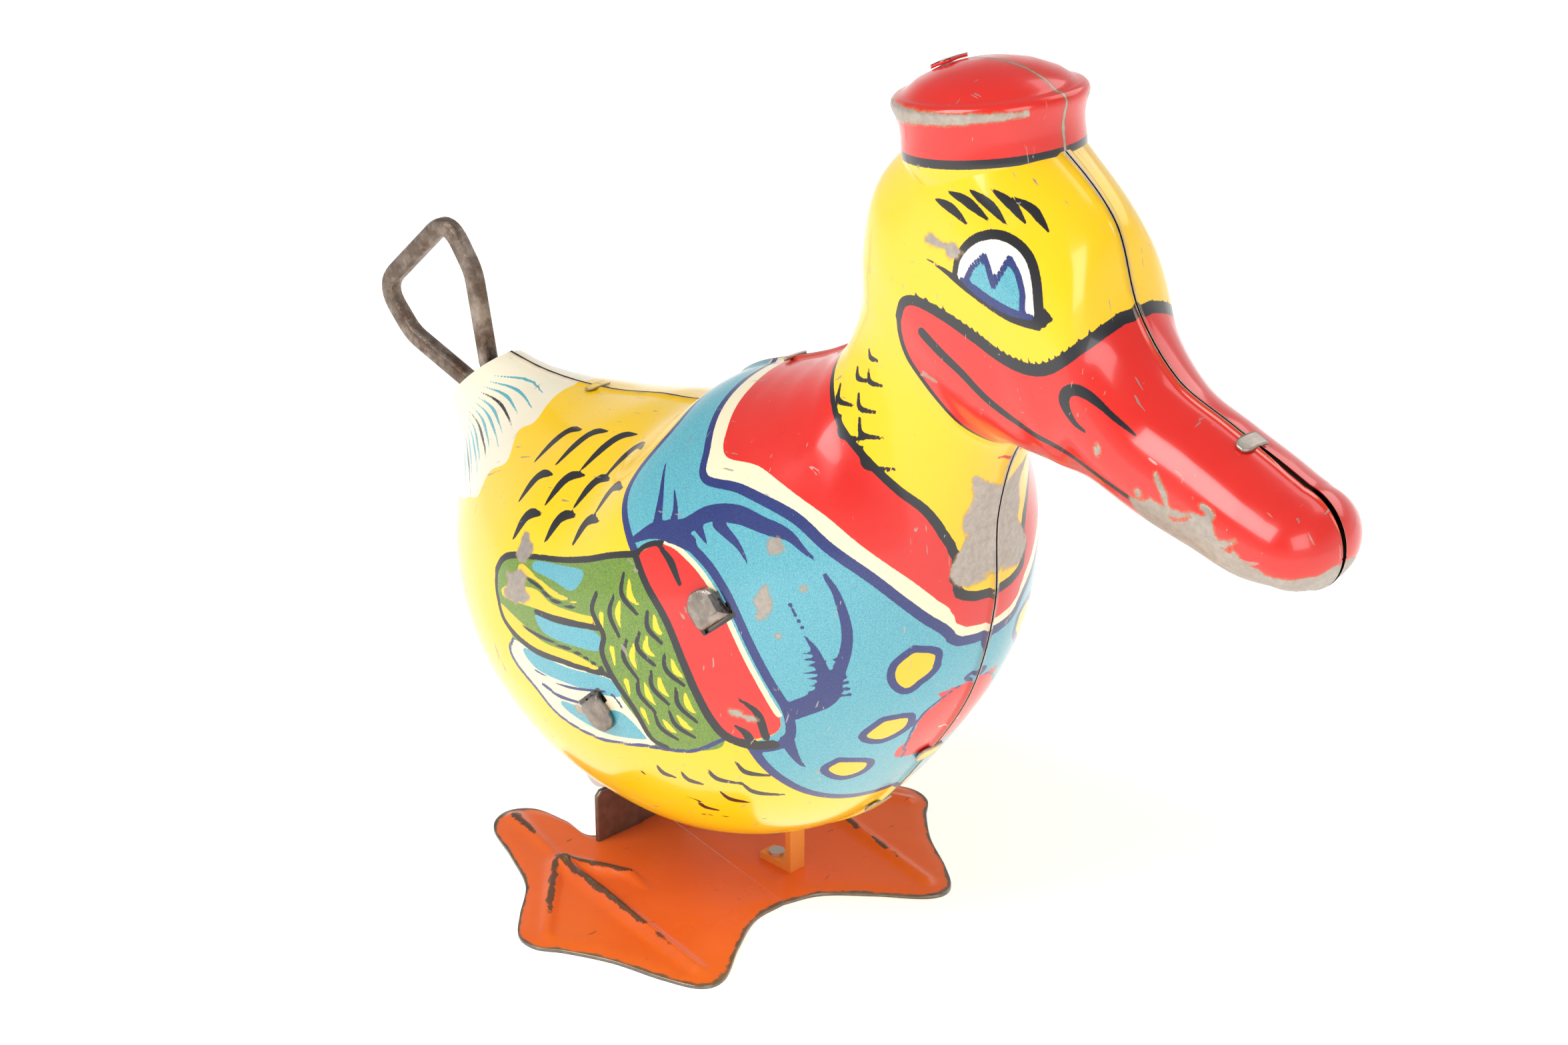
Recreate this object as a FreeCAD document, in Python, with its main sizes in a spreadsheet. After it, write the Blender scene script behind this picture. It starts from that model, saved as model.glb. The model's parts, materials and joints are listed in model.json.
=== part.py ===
"""Wind-up hopping duck: tin shells, clockwork and a hinged feet plate.

Millimetres. +X is forward, +Y is the duck's left, +Z is up, and the soles stand on Z = 0.
The clockwork has its own axes: "depth" runs along the winding arbor, from the tail opening
down into the body, and "rise" runs square to it, up and forward, in the middle plane.
"""
import FreeCAD, Part
import Sketcher
import math
import os

V = FreeCAD.Vector
FAR = 200.0

SIZES = {
    # shells
    "sheet": 0.35, "seam_gap": 0.05,
    "cap_x": 25.8, "cap_z": 91.9, "cap_radius": 8.8, "cap_wall": 4.9, "cap_dome": 3.0,
    "cap_tilt": 8.0,
    # clockwork axes
    "tail_x": -49.5, "tail_z": 47.8, "arbor_slope": 48.0,
    "stage_rise": 9.1,
    # frame
    "plate": 0.8, "rear_depth": 22.0, "front_depth": 41.2,
    "rear_low": -3.4, "rear_high": 24.0, "rear_half": 9.6,
    "front_low": -2.5, "front_high": 44.0, "front_half": 9.4,
    "tab_width": 3.6, "tab_low": 21.4, "tab_high": 41.4, "tab_low_reach": 22.9,
    "tab_high_reach": 20.6,
    "tab_fold": 2.6, "tab_slot_play": 0.4,
    "pillar_radius": 1.1, "pillar_low": 3.0, "pillar_high": 22.5, "pillar_half": 8.4,
    "bush_radius": 2.0, "bush_flange": 3.0, "bush_flange_height": 0.6,
    # arbor train
    "running": 0.05, "arbor_radius": 1.2, "arbor_start": 4.5, "arbor_end": 42.4,
    "small_shaft": 0.8, "crank_shaft": 0.9,
    "tooth_module": 0.65, "wheel_teeth": 20, "pinion_teeth": 8,
    "wheel_height": 1.2, "pinion_height": 1.5, "drive_depth": 33.6, "second_depth": 36.5,
    "ratchet_radius": 3.8, "ratchet_depth": 32.0, "ratchet_height": 1.2, "ratchet_teeth": 12,
    "spring_depth": 24.0, "spring_height": 7.0, "spring_inner": 1.35, "spring_outer": 7.2,
    "spring_strip": 0.25, "spring_turns": 5,
    # key
    "key_bar": 2.1, "key_thick": 1.7, "key_collar": 2.6, "key_end": 9.0, "key_turn": 0.0,
    "key_reach": 17.5, "key_half": 9.3,
    # crank
    "disc_depth": 45.4, "disc_radius": 4.0, "disc_height": 1.2,
    "crank_throw": 2.2, "crank_pin": 0.7, "crank_pin_end": 51.0,
    # feet
    "hinge_x": -24.0, "hinge_z": 9.5, "hinge_pin": 0.9, "ear_inner": 5.6, "ear_thick": 0.8,
    "knuckle_radius": 1.8, "knuckle_left": 0.8, "knuckle_right": 5.3,
    "feet_plate": 0.6, "feet_yaw": 9.0, "yaw_x": -7.0, "flange_thick": 0.6, "flange_half": 7.0,
    "flange_top": 7.0, "rib_height": 0.5, "rib_width": 1.3,
    "post_x": -4.5, "post_y": 4.6, "post_width": 2.2, "post_thick": 0.8, "head_top": 19.7,
    "clip_radius": 1.8, "clip_height": 0.5,
}

doc = FreeCAD.newDocument("hopping_duck")
sheet = doc.addObject("Spreadsheet::Sheet", "sizes")
for row, (alias, value) in enumerate(SIZES.items(), start=1):
    sheet.set(f"A{row}", alias)
    sheet.set(f"B{row}", str(value))
    sheet.setAlias(f"B{row}", alias)
doc.recompute()


def size(alias):
    """A driving dimension, read from the sheet."""
    return float(sheet.get(alias))


NODES = []


def node(item, label):
    """Marks an object as one of the toy's physical pieces."""
    item.Label = label
    NODES.append(item)
    return item


def bind(item, **properties):
    """Binds an object's sizes to expressions over the sheet."""
    for name, expression in properties.items():
        item.setExpression(name, expression)
    return item


def solid(label, shape, place=None):
    """A piece whose shape is worked out in code."""
    item = doc.addObject("Part::Feature", label)
    item.Shape = shape
    if place is not None:
        item.Placement = place
    return node(item, label)


# ---------------------------------------------------------------- clockwork axes
SLOPE = math.radians(size("arbor_slope"))
DEPTH = V(math.cos(SLOPE), 0, -math.sin(SLOPE))
RISE = V(math.sin(SLOPE), 0, math.cos(SLOPE))
TAIL = V(size("tail_x"), 0, size("tail_z"))
TRAIN_TURN = FreeCAD.Rotation(V(0, 1, 0), 90 + size("arbor_slope"))


def train(depth, rise=0.0, side=0.0, spin=0.0):
    """Placement in the clockwork: local Z runs into the body, local X against the rise."""
    spun = TRAIN_TURN.multiply(FreeCAD.Rotation(V(0, 0, 1), spin))
    return FreeCAD.Placement(TAIL + DEPTH * depth + RISE * rise + V(0, side, 0), spun)


def rod(label, radius, length, place):
    """Round rod with its radius and length bound to the sheet."""
    item = bind(doc.addObject("Part::Cylinder", label), Radius=radius, Height=length)
    item.Placement = place
    return item


def block(label, length, width, height, place):
    """Box with its three sizes bound to the sheet."""
    item = bind(doc.addObject("Part::Box", label), Length=length, Width=width, Height=height)
    item.Placement = place
    return item


def cut(label, base, tool):
    item = doc.addObject("Part::Cut", label)
    item.Base = base
    item.Tool = tool
    return item


def fuse(label, items):
    item = doc.addObject("Part::MultiFuse", label)
    item.Shapes = items
    return item


def group(label, items):
    """Separate identical solids that share one node."""
    item = doc.addObject("Part::Compound", label)
    item.Links = items
    return node(item, label)


# ---------------------------------------------------------------- shells
# Sections from the tail opening, round the body, neck and head, to the bill's tip:
# top (x, z), bottom (x, z), half-width and fullness, where 1 is a plain oval and less is squarer.
# They fan round the throat.
SECTIONS = (
    ((-44.6, 52.1), (-52.4, 44.2), 4.4, 1.0),
    ((-40.0, 51.6), (-50.0, 38.8), 6.0, 1.0),
    ((-35.0, 51.6), (-47.2, 32.4), 9.8, 1.0),
    ((-28.0, 52.3), (-42.0, 25.0), 15.2, 1.0),
    ((-20.0, 54.0), (-32.0, 16.6), 20.4, 1.0),
    ((-12.0, 55.8), (-18.0, 10.4), 22.8, 1.0),
    ((-6.0, 61.0), (-3.0, 9.5), 23.0, 1.0),
    ((-1.0, 63.3), (10.0, 15.5), 21.5, 1.0),
    ((3.0, 64.8), (19.0, 26.0), 19.0, 1.0),
    ((6.5, 66.4), (25.0, 36.0), 16.4, 1.0),
    ((9.6, 68.4), (27.5, 46.0), 13.4, 1.0),
    ((11.9, 71.6), (27.6, 56.0), 9.8, 0.9),
    ((13.0, 76.5), (29.8, 63.4), 8.2, 0.8),
    ((13.2, 82.0), (32.0, 64.6), 8.4, 0.72),
    ((14.9, 87.6), (34.0, 64.8), 9.0, 0.7),
    ((18.9, 92.0), (35.8, 64.6), 9.2, 0.7),
    ((25.5, 97.6), (37.4, 64.3), 9.2, 0.72),
    ((33.5, 93.2), (38.8, 64.0), 8.8, 0.78),
    ((40.2, 87.6), (40.6, 63.6), 8.0, 0.9),
    ((43.4, 79.9), (43.4, 63.0), 7.4, 1.0),
    ((48.0, 74.8), (47.8, 61.8), 7.0, 1.0),
    ((54.0, 72.3), (53.6, 60.6), 6.8, 1.0),
    ((60.0, 70.0), (59.6, 59.6), 6.6, 1.0),
    ((65.0, 67.6), (64.6, 60.8), 5.4, 1.0),
    ((67.4, 65.2), (67.2, 62.8), 2.4, 1.0),
)
MOUTH_REACH = 4.0
OVERRUN = 0.5
HALF_STEPS = 8


def half_section(top, bottom, half_width, fullness, inset, gap):
    """Right half of an oval section, pulled in by inset and closed at gap from the middle plane."""
    high = V(top[0], 0, top[1])
    low = V(bottom[0], 0, bottom[1])
    centre = (high + low) * 0.5
    up = high - low
    tall = up.Length / 2 - inset
    wide = half_width - inset - gap
    up.normalize()
    points = []
    for step in range(HALF_STEPS + 1):
        angle = math.pi * step / HALF_STEPS
        bulge = max(math.sin(angle), 0.0) ** fullness
        points.append(centre + up * (tall * math.cos(angle)) - V(0, gap + wide * bulge, 0))
    curve = Part.BSplineCurve()
    curve.interpolate(points)
    return Part.Wire([curve.toShape(), Part.makeLine(points[-1], points[0])])


def cap_form(inset):
    """Right half of the round cap with its shallow domed top, tipped up at the front."""
    radius = size("cap_radius") - inset
    wall = size("cap_wall")
    dome = size("cap_dome") - inset
    low = V(-radius, 0, inset)
    edge = V(-radius, 0, wall)
    peak = V(0, 0, wall + dome)
    ball = (radius ** 2 + dome ** 2) / (2 * dome)
    lean = math.asin(radius / ball) / 2
    middle = V(-ball * math.sin(lean), 0, wall + dome - ball + ball * math.cos(lean))
    rim = [Part.makeLine(V(0, 0, inset), low), Part.makeLine(low, edge),
           Part.Arc(edge, middle, peak).toShape(), Part.makeLine(peak, V(0, 0, inset))]
    form = Part.Face(Part.Wire(rim)).revolve(V(0, 0, 0), V(0, 0, 1), 180)
    form.rotate(V(0, 0, 0), V(0, 1, 0), -size("cap_tilt"))
    form.translate(V(size("cap_x"), -size("seam_gap") / 2, size("cap_z")))
    return form


def box_between(low, high):
    return Part.makeBox(high[0] - low[0], high[1] - low[1], high[2] - low[2], V(*low))


def tab_slots():
    """Slots where the frame's side tabs pass through both shells."""
    play = size("tab_slot_play")
    slots = []
    for rise in (size("tab_low"), size("tab_high")):
        half = size("tab_width") / 2 + play
        slot = Part.makeBox(2 * half, 2 * FAR, size("plate") + 2 * play, V(-half, -FAR, -play))
        slot.Placement = train(size("front_depth"), rise)
        slots.append(slot)
    return slots


def belly_slots():
    """Slots under the belly for the hinge ears and for the follower post."""
    hinge_x = size("hinge_x")
    ears = box_between((hinge_x - 5, -8.2, 0), (hinge_x + 6.5, 8.2, 17))
    post_x, post_y = size("post_x"), size("post_y")
    post = box_between((post_x - 3, post_y - 3, 0), (post_x + 4, post_y + 3, 15))
    return [ears, post]


def shells():
    """Right and left pressings; the left one is the mirror of the right one."""
    inset = size("sheet")
    outer = [half_section(*section, 0, size("seam_gap") / 2) for section in SECTIONS]
    inner = [half_section(*section, inset, -OVERRUN) for section in SECTIONS[:-1]]
    mouth = inner[0].copy()
    mouth.translate(DEPTH * -MOUTH_REACH)
    hollow = Part.makeLoft(outer, True, False).cut(Part.makeLoft([mouth] + inner, True, False))
    cup = cap_form(0).cut(cap_form(inset))
    whole = hollow.cut(cap_form(0)).fuse(cup)
    slots = tab_slots() + belly_slots()
    solid("right_shell", largest(whole.cut(slots)))
    solid("left_shell", largest(whole.mirror(V(0, 0, 0), V(0, 1, 0)).cut(slots)))


def largest(shape):
    return max(shape.Solids, key=lambda piece: piece.Volume)


# ---------------------------------------------------------------- frame
def plate_blank(name, low, high, half, depth):
    """Plate square to the arbor, from one rise to another."""
    return block(name, f"sizes.{high} - sizes.{low}", f"2 * sizes.{half}", "sizes.plate",
                 FreeCAD.Placement(train(size(depth), size(high)).Base + V(0, -size(half), 0), TRAIN_TURN))


def shaft_hole(name, radius, depth, rise):
    return rod(name, radius, "sizes.plate + 4", train(size(depth) - 2, rise))


def rear_plate():
    blank = plate_blank("rear_blank", "rear_low", "rear_high", "rear_half", "rear_depth")
    holes = fuse("rear_holes", [
        shaft_hole("rear_bush_hole", "sizes.bush_radius", "rear_depth", 0),
        shaft_hole("rear_second_hole", "sizes.small_shaft + sizes.running", "rear_depth", size("stage_rise")),
        shaft_hole("rear_crank_hole", "sizes.crank_shaft + sizes.running", "rear_depth",
                   2 * size("stage_rise")),
    ])
    node(cut("rear_plate_cut", blank, holes), "frame_rear_plate")


def side_tab(name, level, side, fold):
    """Arm through the shell, with its end folded along the outside."""
    rise = size(level)
    reach = size(level + "_reach")
    width = size("tab_width")
    start = 0.0 if side > 0 else -reach
    arm = block(name + "_arm", "sizes.tab_width", f"sizes.{level}_reach", "sizes.plate", FreeCAD.Placement(
        train(size("front_depth"), rise + width / 2).Base + V(0, start, 0), TRAIN_TURN))
    end = reach if side > 0 else -reach - size("plate")
    inward = 0.0 if fold > 0 else size("plate") - size("tab_fold")
    folded = block(name + "_fold", "sizes.tab_width", "sizes.plate", "sizes.tab_fold", FreeCAD.Placement(
        train(size("front_depth") + inward, rise + width / 2).Base + V(0, end, 0), TRAIN_TURN))
    return [arm, folded]


def front_plate():
    parts = [plate_blank("front_blank", "front_low", "front_high", "front_half", "front_depth")]
    for side, hand in ((-1, "right"), (1, "left")):
        parts += side_tab(f"{hand}_low_tab", "tab_low", side, 1)
        parts += side_tab(f"{hand}_high_tab", "tab_high", side, -1)
    holes = fuse("front_holes", [
        shaft_hole("front_bush_hole", "sizes.bush_radius", "front_depth", 0),
        shaft_hole("front_second_hole", "sizes.small_shaft + sizes.running", "front_depth",
                   size("stage_rise")),
        shaft_hole("front_crank_hole", "sizes.crank_shaft + sizes.running", "front_depth",
                   2 * size("stage_rise")),
    ])
    node(cut("front_plate_cut", fuse("front_whole", parts), holes), "frame_front_plate")


def pillars():
    rods = []
    for rise in ("pillar_low", "pillar_high"):
        for side in (-1, 1):
            rods.append(rod(f"{rise}_{'left' if side > 0 else 'right'}", "sizes.pillar_radius",
                            "sizes.front_depth - sizes.rear_depth - sizes.plate",
                            train(size("rear_depth") + size("plate"), size(rise), side * size("pillar_half"))))
    group("frame_pillars", rods)


def bush(label, depth, flange_depth):
    """Flanged bush for the winding arbor."""
    barrel = rod(label + "_barrel", "sizes.bush_radius", "sizes.plate", train(size(depth)))
    flange = rod(label + "_flange", "sizes.bush_flange", "sizes.bush_flange_height", train(flange_depth))
    bore = rod(label + "_bore", "sizes.arbor_radius + sizes.running", "sizes.plate + 6",
               train(size(depth) - 3))
    node(cut(label + "_cut", fuse(label + "_whole", [barrel, flange]), bore), label)


def ear_outline():
    """Hinge ear in the middle plane: from the front plate's foot down around the pin."""
    face = size("front_depth") + size("plate")
    hinge = V(size("hinge_x"), 0, size("hinge_z"))
    root_high = TAIL + DEPTH * face + RISE * 6.5
    root_low = TAIL + DEPTH * face + RISE * 1.0
    front = TAIL + DEPTH * (face + 3.5) + RISE * 4.0
    strap = Part.Face(Part.makePolygon([root_high, root_low, hinge + V(-2.0, 0, 0),
                                        hinge + V(2.0, 0, 0), front, root_high]))
    return strap, hinge


def hinge_bracket():
    """Two ears on a base strip, fixed to the front plate's lower end."""
    strap, hinge = ear_outline()
    thick = size("ear_thick")
    inner = size("ear_inner")
    face = size("front_depth") + size("plate")
    base = Part.makeBox(3.5, 2 * (inner + thick), thick, V(-6.5, -inner - thick, 0))
    base.Placement = train(face)
    parts = [base]
    for start in (inner, -inner - thick):
        ear = strap.extrude(V(0, thick, 0))
        ear.translate(V(0, start, 0))
        eye = Part.makeCylinder(2.0, thick, hinge + V(0, start, 0), V(0, 1, 0))
        parts.append(ear.fuse(eye))
    whole = parts[0].fuse(parts[1:])
    bore = Part.makeCylinder(size("hinge_pin"), 2 * FAR, hinge - V(0, FAR, 0), V(0, 1, 0))
    behind = Part.makeBox(2 * FAR, 2 * FAR, FAR, V(-FAR, -FAR, -FAR))
    behind.Placement = train(face)
    above_hinge = box_between((-FAR, -FAR, size("hinge_z") + 4.0), (FAR, FAR, FAR))
    solid("foot_hinge_bracket", whole.cut([bore, behind.common(above_hinge)]))


def along_y(radius, length, start, label):
    """Round piece on the feet hinge."""
    turn = FreeCAD.Rotation(V(1, 0, 0), -90)
    return rod(label, radius, length, FreeCAD.Placement(V(size("hinge_x"), start, size("hinge_z")), turn))


def hinge_pin():
    half = size("ear_inner") + size("ear_thick") + size("clip_height")
    node(along_y("sizes.hinge_pin", "2 * (sizes.ear_inner + sizes.ear_thick + sizes.clip_height)",
                 -half, "pin"), "foot_pivot_pin")
    clips = []
    for hand, start in (("right", -half), ("left", half - size("clip_height"))):
        ring = along_y("sizes.clip_radius", "sizes.clip_height", start, f"clip_{hand}")
        hole = along_y("sizes.hinge_pin", "sizes.clip_height", start, f"clip_hole_{hand}")
        clips.append(cut(f"clip_ring_{hand}", ring, hole))
    group("pivot_pin_clips", clips)


# ---------------------------------------------------------------- clockwork
def toothed(teeth, tall, bore):
    """Gear with straight-flanked teeth, thin enough to run with play."""
    pitch = size("tooth_module") * teeth / 2
    turn = 2 * math.pi / teeth
    root = pitch - 1.25 * size("tooth_module")
    tip = pitch + 0.85 * size("tooth_module")
    points = []
    for tooth in range(int(teeth)):
        middle = tooth * turn
        for radius, share in ((root, -0.27), (tip, -0.09), (tip, 0.09), (root, 0.27)):
            angle = middle + share * turn
            points.append(V(radius * math.cos(angle), radius * math.sin(angle), 0))
    face = Part.Face(Part.makePolygon(points + [points[0]]))
    return face.extrude(V(0, 0, tall)).cut(Part.makeCylinder(bore, tall))


def train_wheels():
    wheel = size("wheel_teeth")
    pinion = size("pinion_teeth")
    rise = size("stage_rise")
    half_tooth = 180 / pinion
    wide, tall = size("wheel_height"), size("pinion_height")
    running = size("running")
    # local X points against the rise, so a wheel's tooth at 180 degrees faces the next stage
    solid("drive_gear", toothed(wheel, wide, size("arbor_radius") + running), train(size("drive_depth")))
    solid("intermediate_pinion", toothed(pinion, tall, size("small_shaft")),
          train(size("drive_depth"), rise, spin=half_tooth))
    solid("intermediate_wheel", toothed(wheel, wide, size("small_shaft")), train(size("second_depth"), rise))
    solid("crank_pinion", toothed(pinion, tall, size("crank_shaft")),
          train(size("second_depth"), 2 * rise, spin=half_tooth))


def shafts():
    rise = size("stage_rise")
    node(rod("arbor", "sizes.arbor_radius", "sizes.arbor_end - sizes.arbor_start",
             train(size("arbor_start"))), "key_arbor")
    node(rod("second_arbor", "sizes.small_shaft", "sizes.front_depth - sizes.rear_depth + 2 * sizes.plate",
             train(size("rear_depth") - size("plate") / 2, rise)), "intermediate_shaft")
    node(rod("crank_arbor", "sizes.crank_shaft", "sizes.disc_depth - sizes.rear_depth + sizes.plate / 2",
             train(size("rear_depth") - size("plate") / 2, 2 * rise)), "crank_shaft")


def ratchet():
    """Saw-toothed wheel on the arbor."""
    teeth = int(size("ratchet_teeth"))
    tip = size("ratchet_radius")
    points = []
    for tooth in range(teeth):
        angle = 2 * math.pi * tooth / teeth
        points.append(V(tip * math.cos(angle), tip * math.sin(angle), 0))
        points.append(V((tip - 0.9) * math.cos(angle), (tip - 0.9) * math.sin(angle), 0))
    face = Part.Face(Part.makePolygon(points + [points[0]]))
    height = size("ratchet_height")
    wheel = face.extrude(V(0, 0, height)).cut(Part.makeCylinder(size("arbor_radius"), height))
    solid("ratchet_wheel", wheel, train(size("ratchet_depth")))


def click():
    """Pawl, its rivet and its leaf spring, all carried by the drive gear."""
    place = train(size("ratchet_depth"), spin=60)
    height = size("ratchet_height")
    rivet_x, rivet_y = 3.2, -4.4
    pawl = Part.Face(Part.makePolygon([V(*p, 0) for p in (
        (2.3, -5.0), (4.3, -5.0), (5.0, -3.0), (4.6, 0.2), (4.0, 0.4), (4.1, -2.6), (2.3, -4.2),
        (2.3, -5.0))])).extrude(V(0, 0, height))
    hole = Part.makeCylinder(0.45, height, V(rivet_x, rivet_y, 0))
    solid("click_pawl", pawl.cut(hole), place)
    rivet = Part.makeCylinder(0.45, size("drive_depth") - size("ratchet_depth"), V(rivet_x, rivet_y, 0))
    solid("click_rivet", rivet, place)
    leaf = Part.makeBox(0.2, 3.6, 0.8, V(5.25, -3.4, 0.2))
    foot = Part.makeBox(0.9, 0.6, size("drive_depth") - size("ratchet_depth") - 0.2, V(5.25, 0.2, 0.2))
    solid("click_spring", leaf.fuse(foot).removeSplitter(), place)


def mainspring():
    """Flat spiral strip between the arbor and a frame pillar's side."""
    inner = size("spring_inner")
    outer = size("spring_outer")
    strip = size("spring_strip")
    turns = size("spring_turns")
    steps = int(turns * 12)

    def spiral(offset):
        points = []
        for step in range(steps + 1):
            angle = 2 * math.pi * turns * step / steps
            radius = inner + offset + (outer - inner - strip) * step / steps
            points.append(V(radius * math.cos(angle), radius * math.sin(angle), 0))
        curve = Part.BSplineCurve()
        curve.interpolate(points)
        return curve.toShape(), points[0], points[-1]

    inside, inside_start, inside_end = spiral(0)
    outside, outside_start, outside_end = spiral(strip)
    outline = Part.Wire([inside, Part.makeLine(inside_end, outside_end), outside,
                         Part.makeLine(outside_start, inside_start)])
    solid("mainspring", Part.Face(outline).extrude(V(0, 0, size("spring_height"))),
          train(size("spring_depth")))


def sketch_on(body, name, role):
    """Empty sketch on one of a body's own origin planes."""
    plane = [item for item in body.Origin.OriginFeatures if item.Role == role][0]
    sketch = body.newObject("Sketcher::SketchObject", name)
    sketch.AttachmentSupport = [(plane, "")]
    sketch.MapMode = "FlatFace"
    return sketch


def disc_body(label, radius, height, place):
    """Round disc made as a padded sketch."""
    body = doc.addObject("PartDesign::Body", label)
    sketch = sketch_on(body, label + "_outline", "XY_Plane")
    circle = sketch.addGeometry(Part.Circle(V(0, 0, 0), V(0, 0, 1), 1.0), False)
    sketch.addConstraint(Sketcher.Constraint("Coincident", circle, 3, -1, 1))
    index = sketch.addConstraint(Sketcher.Constraint("Radius", circle, 1.0))
    sketch.setExpression(f"Constraints[{index}]", radius)
    pad = body.newObject("PartDesign::Pad", label + "_pad")
    pad.Profile = sketch
    pad.setExpression("Length", height)
    body.Placement = place
    return node(body, label)


def crank():
    rise = 2 * size("stage_rise")
    disc_body("crank_disc", "sizes.disc_radius", "sizes.disc_height", train(size("disc_depth"), rise))
    top = size("disc_depth") + size("disc_height")
    disc_body("crank_pin", "sizes.crank_pin", "sizes.crank_pin_end - sizes.disc_depth - sizes.disc_height",
              train(top, rise - size("crank_throw")))


def key_outline(points, thick, corners):
    """Flat blank symmetric about the arbor, with its corners rounded by level."""
    whole = [V(x, 0, z) for x, z in points] + [V(-x, 0, z) for x, z in reversed(points)]
    blank = Part.Face(Part.makePolygon(whole + whole[:1])).extrude(V(0, thick, 0))
    for level, radius in corners:
        blank = blank.makeFillet(radius, thickness_edges(blank, level))
    return blank


def winding_key():
    """Bent-bar key: a rounded triangular loop on a collar that grips the arbor."""
    bar = size("key_bar")
    thick = size("key_thick")
    end = size("key_end")
    far = -size("key_reach")
    wide = size("key_half")
    grip = 4.5
    outer = ((2.9, end), (3.0, 0.0), (wide - 0.5, -9.5), (wide, far))
    inner = ((2.9 - bar, grip), (3.0 - bar, -0.6), (wide - 0.5 - bar, -10.0), (wide - 0.2 - bar, far + bar))
    blank = key_outline(outer, thick, ((far, 4.6), (-9.5, 6.0), (0.0, 3.0)))
    hole = key_outline(inner, thick, ((far + bar, 2.8), (-10.0, 4.0), (-0.6, 2.0)))
    loop = blank.cut(hole)
    loop.translate(V(0, -thick / 2, 0))
    collar = Part.makeCylinder(size("key_collar"), end - grip, V(0, 0, grip))
    bore = Part.makeCylinder(size("arbor_radius"), end, V(0, 0, grip))
    solid("winding_key", loop.fuse(collar).cut(bore).removeSplitter(), train(0, spin=size("key_turn")))


def thickness_edges(shape, level):
    """Edges along local Y that lie at a level."""
    found = []
    for edge in shape.Edges:
        ends = [vertex.Point for vertex in edge.Vertexes]
        if len(ends) == 2 and abs(ends[0].x - ends[1].x) < 1e-6:
            if all(abs(point.z - level) < 1e-6 for point in ends):
                found.append(edge)
    return found


# ---------------------------------------------------------------- feet
# One side of the sole's outline, from the rear web to the front web.
FOOT = (
    (-24.2, 8.8), (-29.0, 9.8), (-33.4, 11.2), (-34.8, 14.2), (-32.6, 17.2), (-26.3, 18.8), (-19.8, 20.8),
    (-14.8, 24.6), (-11.4, 26.8), (-8.4, 26.6), (-5.8, 24.4), (-1.2, 21.4), (4.4, 19.0), (8.2, 16.6),
    (8.2, 13.6), (4.2, 9.0), (0.8, 4.4),
)
# Ribs: start and end (x, y) on one side.
RIBS = (((-20.3, 16.0), (4.6, 15.0)), ((-19.4, 17.4), (-9.2, 23.8)), ((-19.3, 14.4), (-10.4, 7.6)))


def rib(start, end):
    """Raised rounded bar on the plate."""
    line = V(end[0] - start[0], end[1] - start[1], 0)
    width = size("rib_width")
    bar = Part.makeBox(line.Length, width, size("rib_height"), V(0, -width / 2, 0))
    bar = bar.fuse([Part.makeCylinder(width / 2, size("rib_height"), V(at, 0, 0)) for at in (0, line.Length)])
    turn = FreeCAD.Rotation(V(0, 0, 1), math.degrees(math.atan2(line.y, line.x)))
    bar.Placement = FreeCAD.Placement(V(start[0], start[1], size("feet_plate")), turn)
    return bar


def feet_plate():
    """One stamping: both webbed feet, ribs, the rear flange and its hinge knuckle."""
    right = [V(x, -y, 0) for x, y in FOOT]
    left = [V(x, y, 0) for x, y in reversed(FOOT)]
    curve = Part.BSplineCurve()
    curve.interpolate(right + left)
    outline = Part.Wire([curve.toShape(), Part.makeLine(left[-1], right[0])])
    plate = Part.Face(outline).extrude(V(0, 0, size("feet_plate")))
    for start, end in RIBS:
        for side in (-1, 1):
            plate = plate.fuse(rib((start[0], side * start[1]), (end[0], side * end[1])))
    plate.rotate(V(size("yaw_x"), 0, 0), V(0, 0, 1), -size("feet_yaw"))
    thick, half = size("flange_thick"), size("flange_half")
    hinge_x, hinge_z = size("hinge_x"), size("hinge_z")
    flange = box_between((hinge_x - thick / 2, -half, 0), (hinge_x + thick / 2, half, size("flange_top")))
    neck = box_between((hinge_x - thick / 2, -size("knuckle_right"), 0),
                       (hinge_x + thick / 2, size("knuckle_left"), hinge_z))
    width = size("knuckle_right") + size("knuckle_left")
    start = V(hinge_x, -size("knuckle_right"), hinge_z)
    knuckle = Part.makeCylinder(size("knuckle_radius"), width, start, V(0, 1, 0))
    bore = Part.makeCylinder(size("hinge_pin") + size("running"), width, start, V(0, 1, 0))
    solid("feet_plate", plate.fuse([flange, neck, knuckle]).cut(bore).removeSplitter())


def follower():
    """Post that rises through the belly to just under the crank pin, and its rivet."""
    x, y = size("post_x"), size("post_y")
    width, thick = size("post_width"), size("post_thick")
    top = size("head_top")
    sole = size("feet_plate")
    foot = box_between((x - 4.0, y - width / 2, sole), (x + thick, y + width / 2, sole + thick))
    post = box_between((x, y - width / 2, sole), (x + thick, y + width / 2, top))
    head = box_between((x - 2.0, -2.4, top - thick), (x + 3.0, y + width / 2, top))
    hole = Part.makeCylinder(0.5, 3, V(x - 2.4, y, 0))
    solid("follower_post", foot.fuse([post, head]).removeSplitter().cut(hole))
    stem = Part.makeCylinder(0.5, thick, V(x - 2.4, y, sole))
    head_form = Part.makeCylinder(0.9, 0.4, V(x - 2.4, y, sole + thick))
    solid("follower_rivet", stem.fuse(head_form).removeSplitter())


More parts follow.
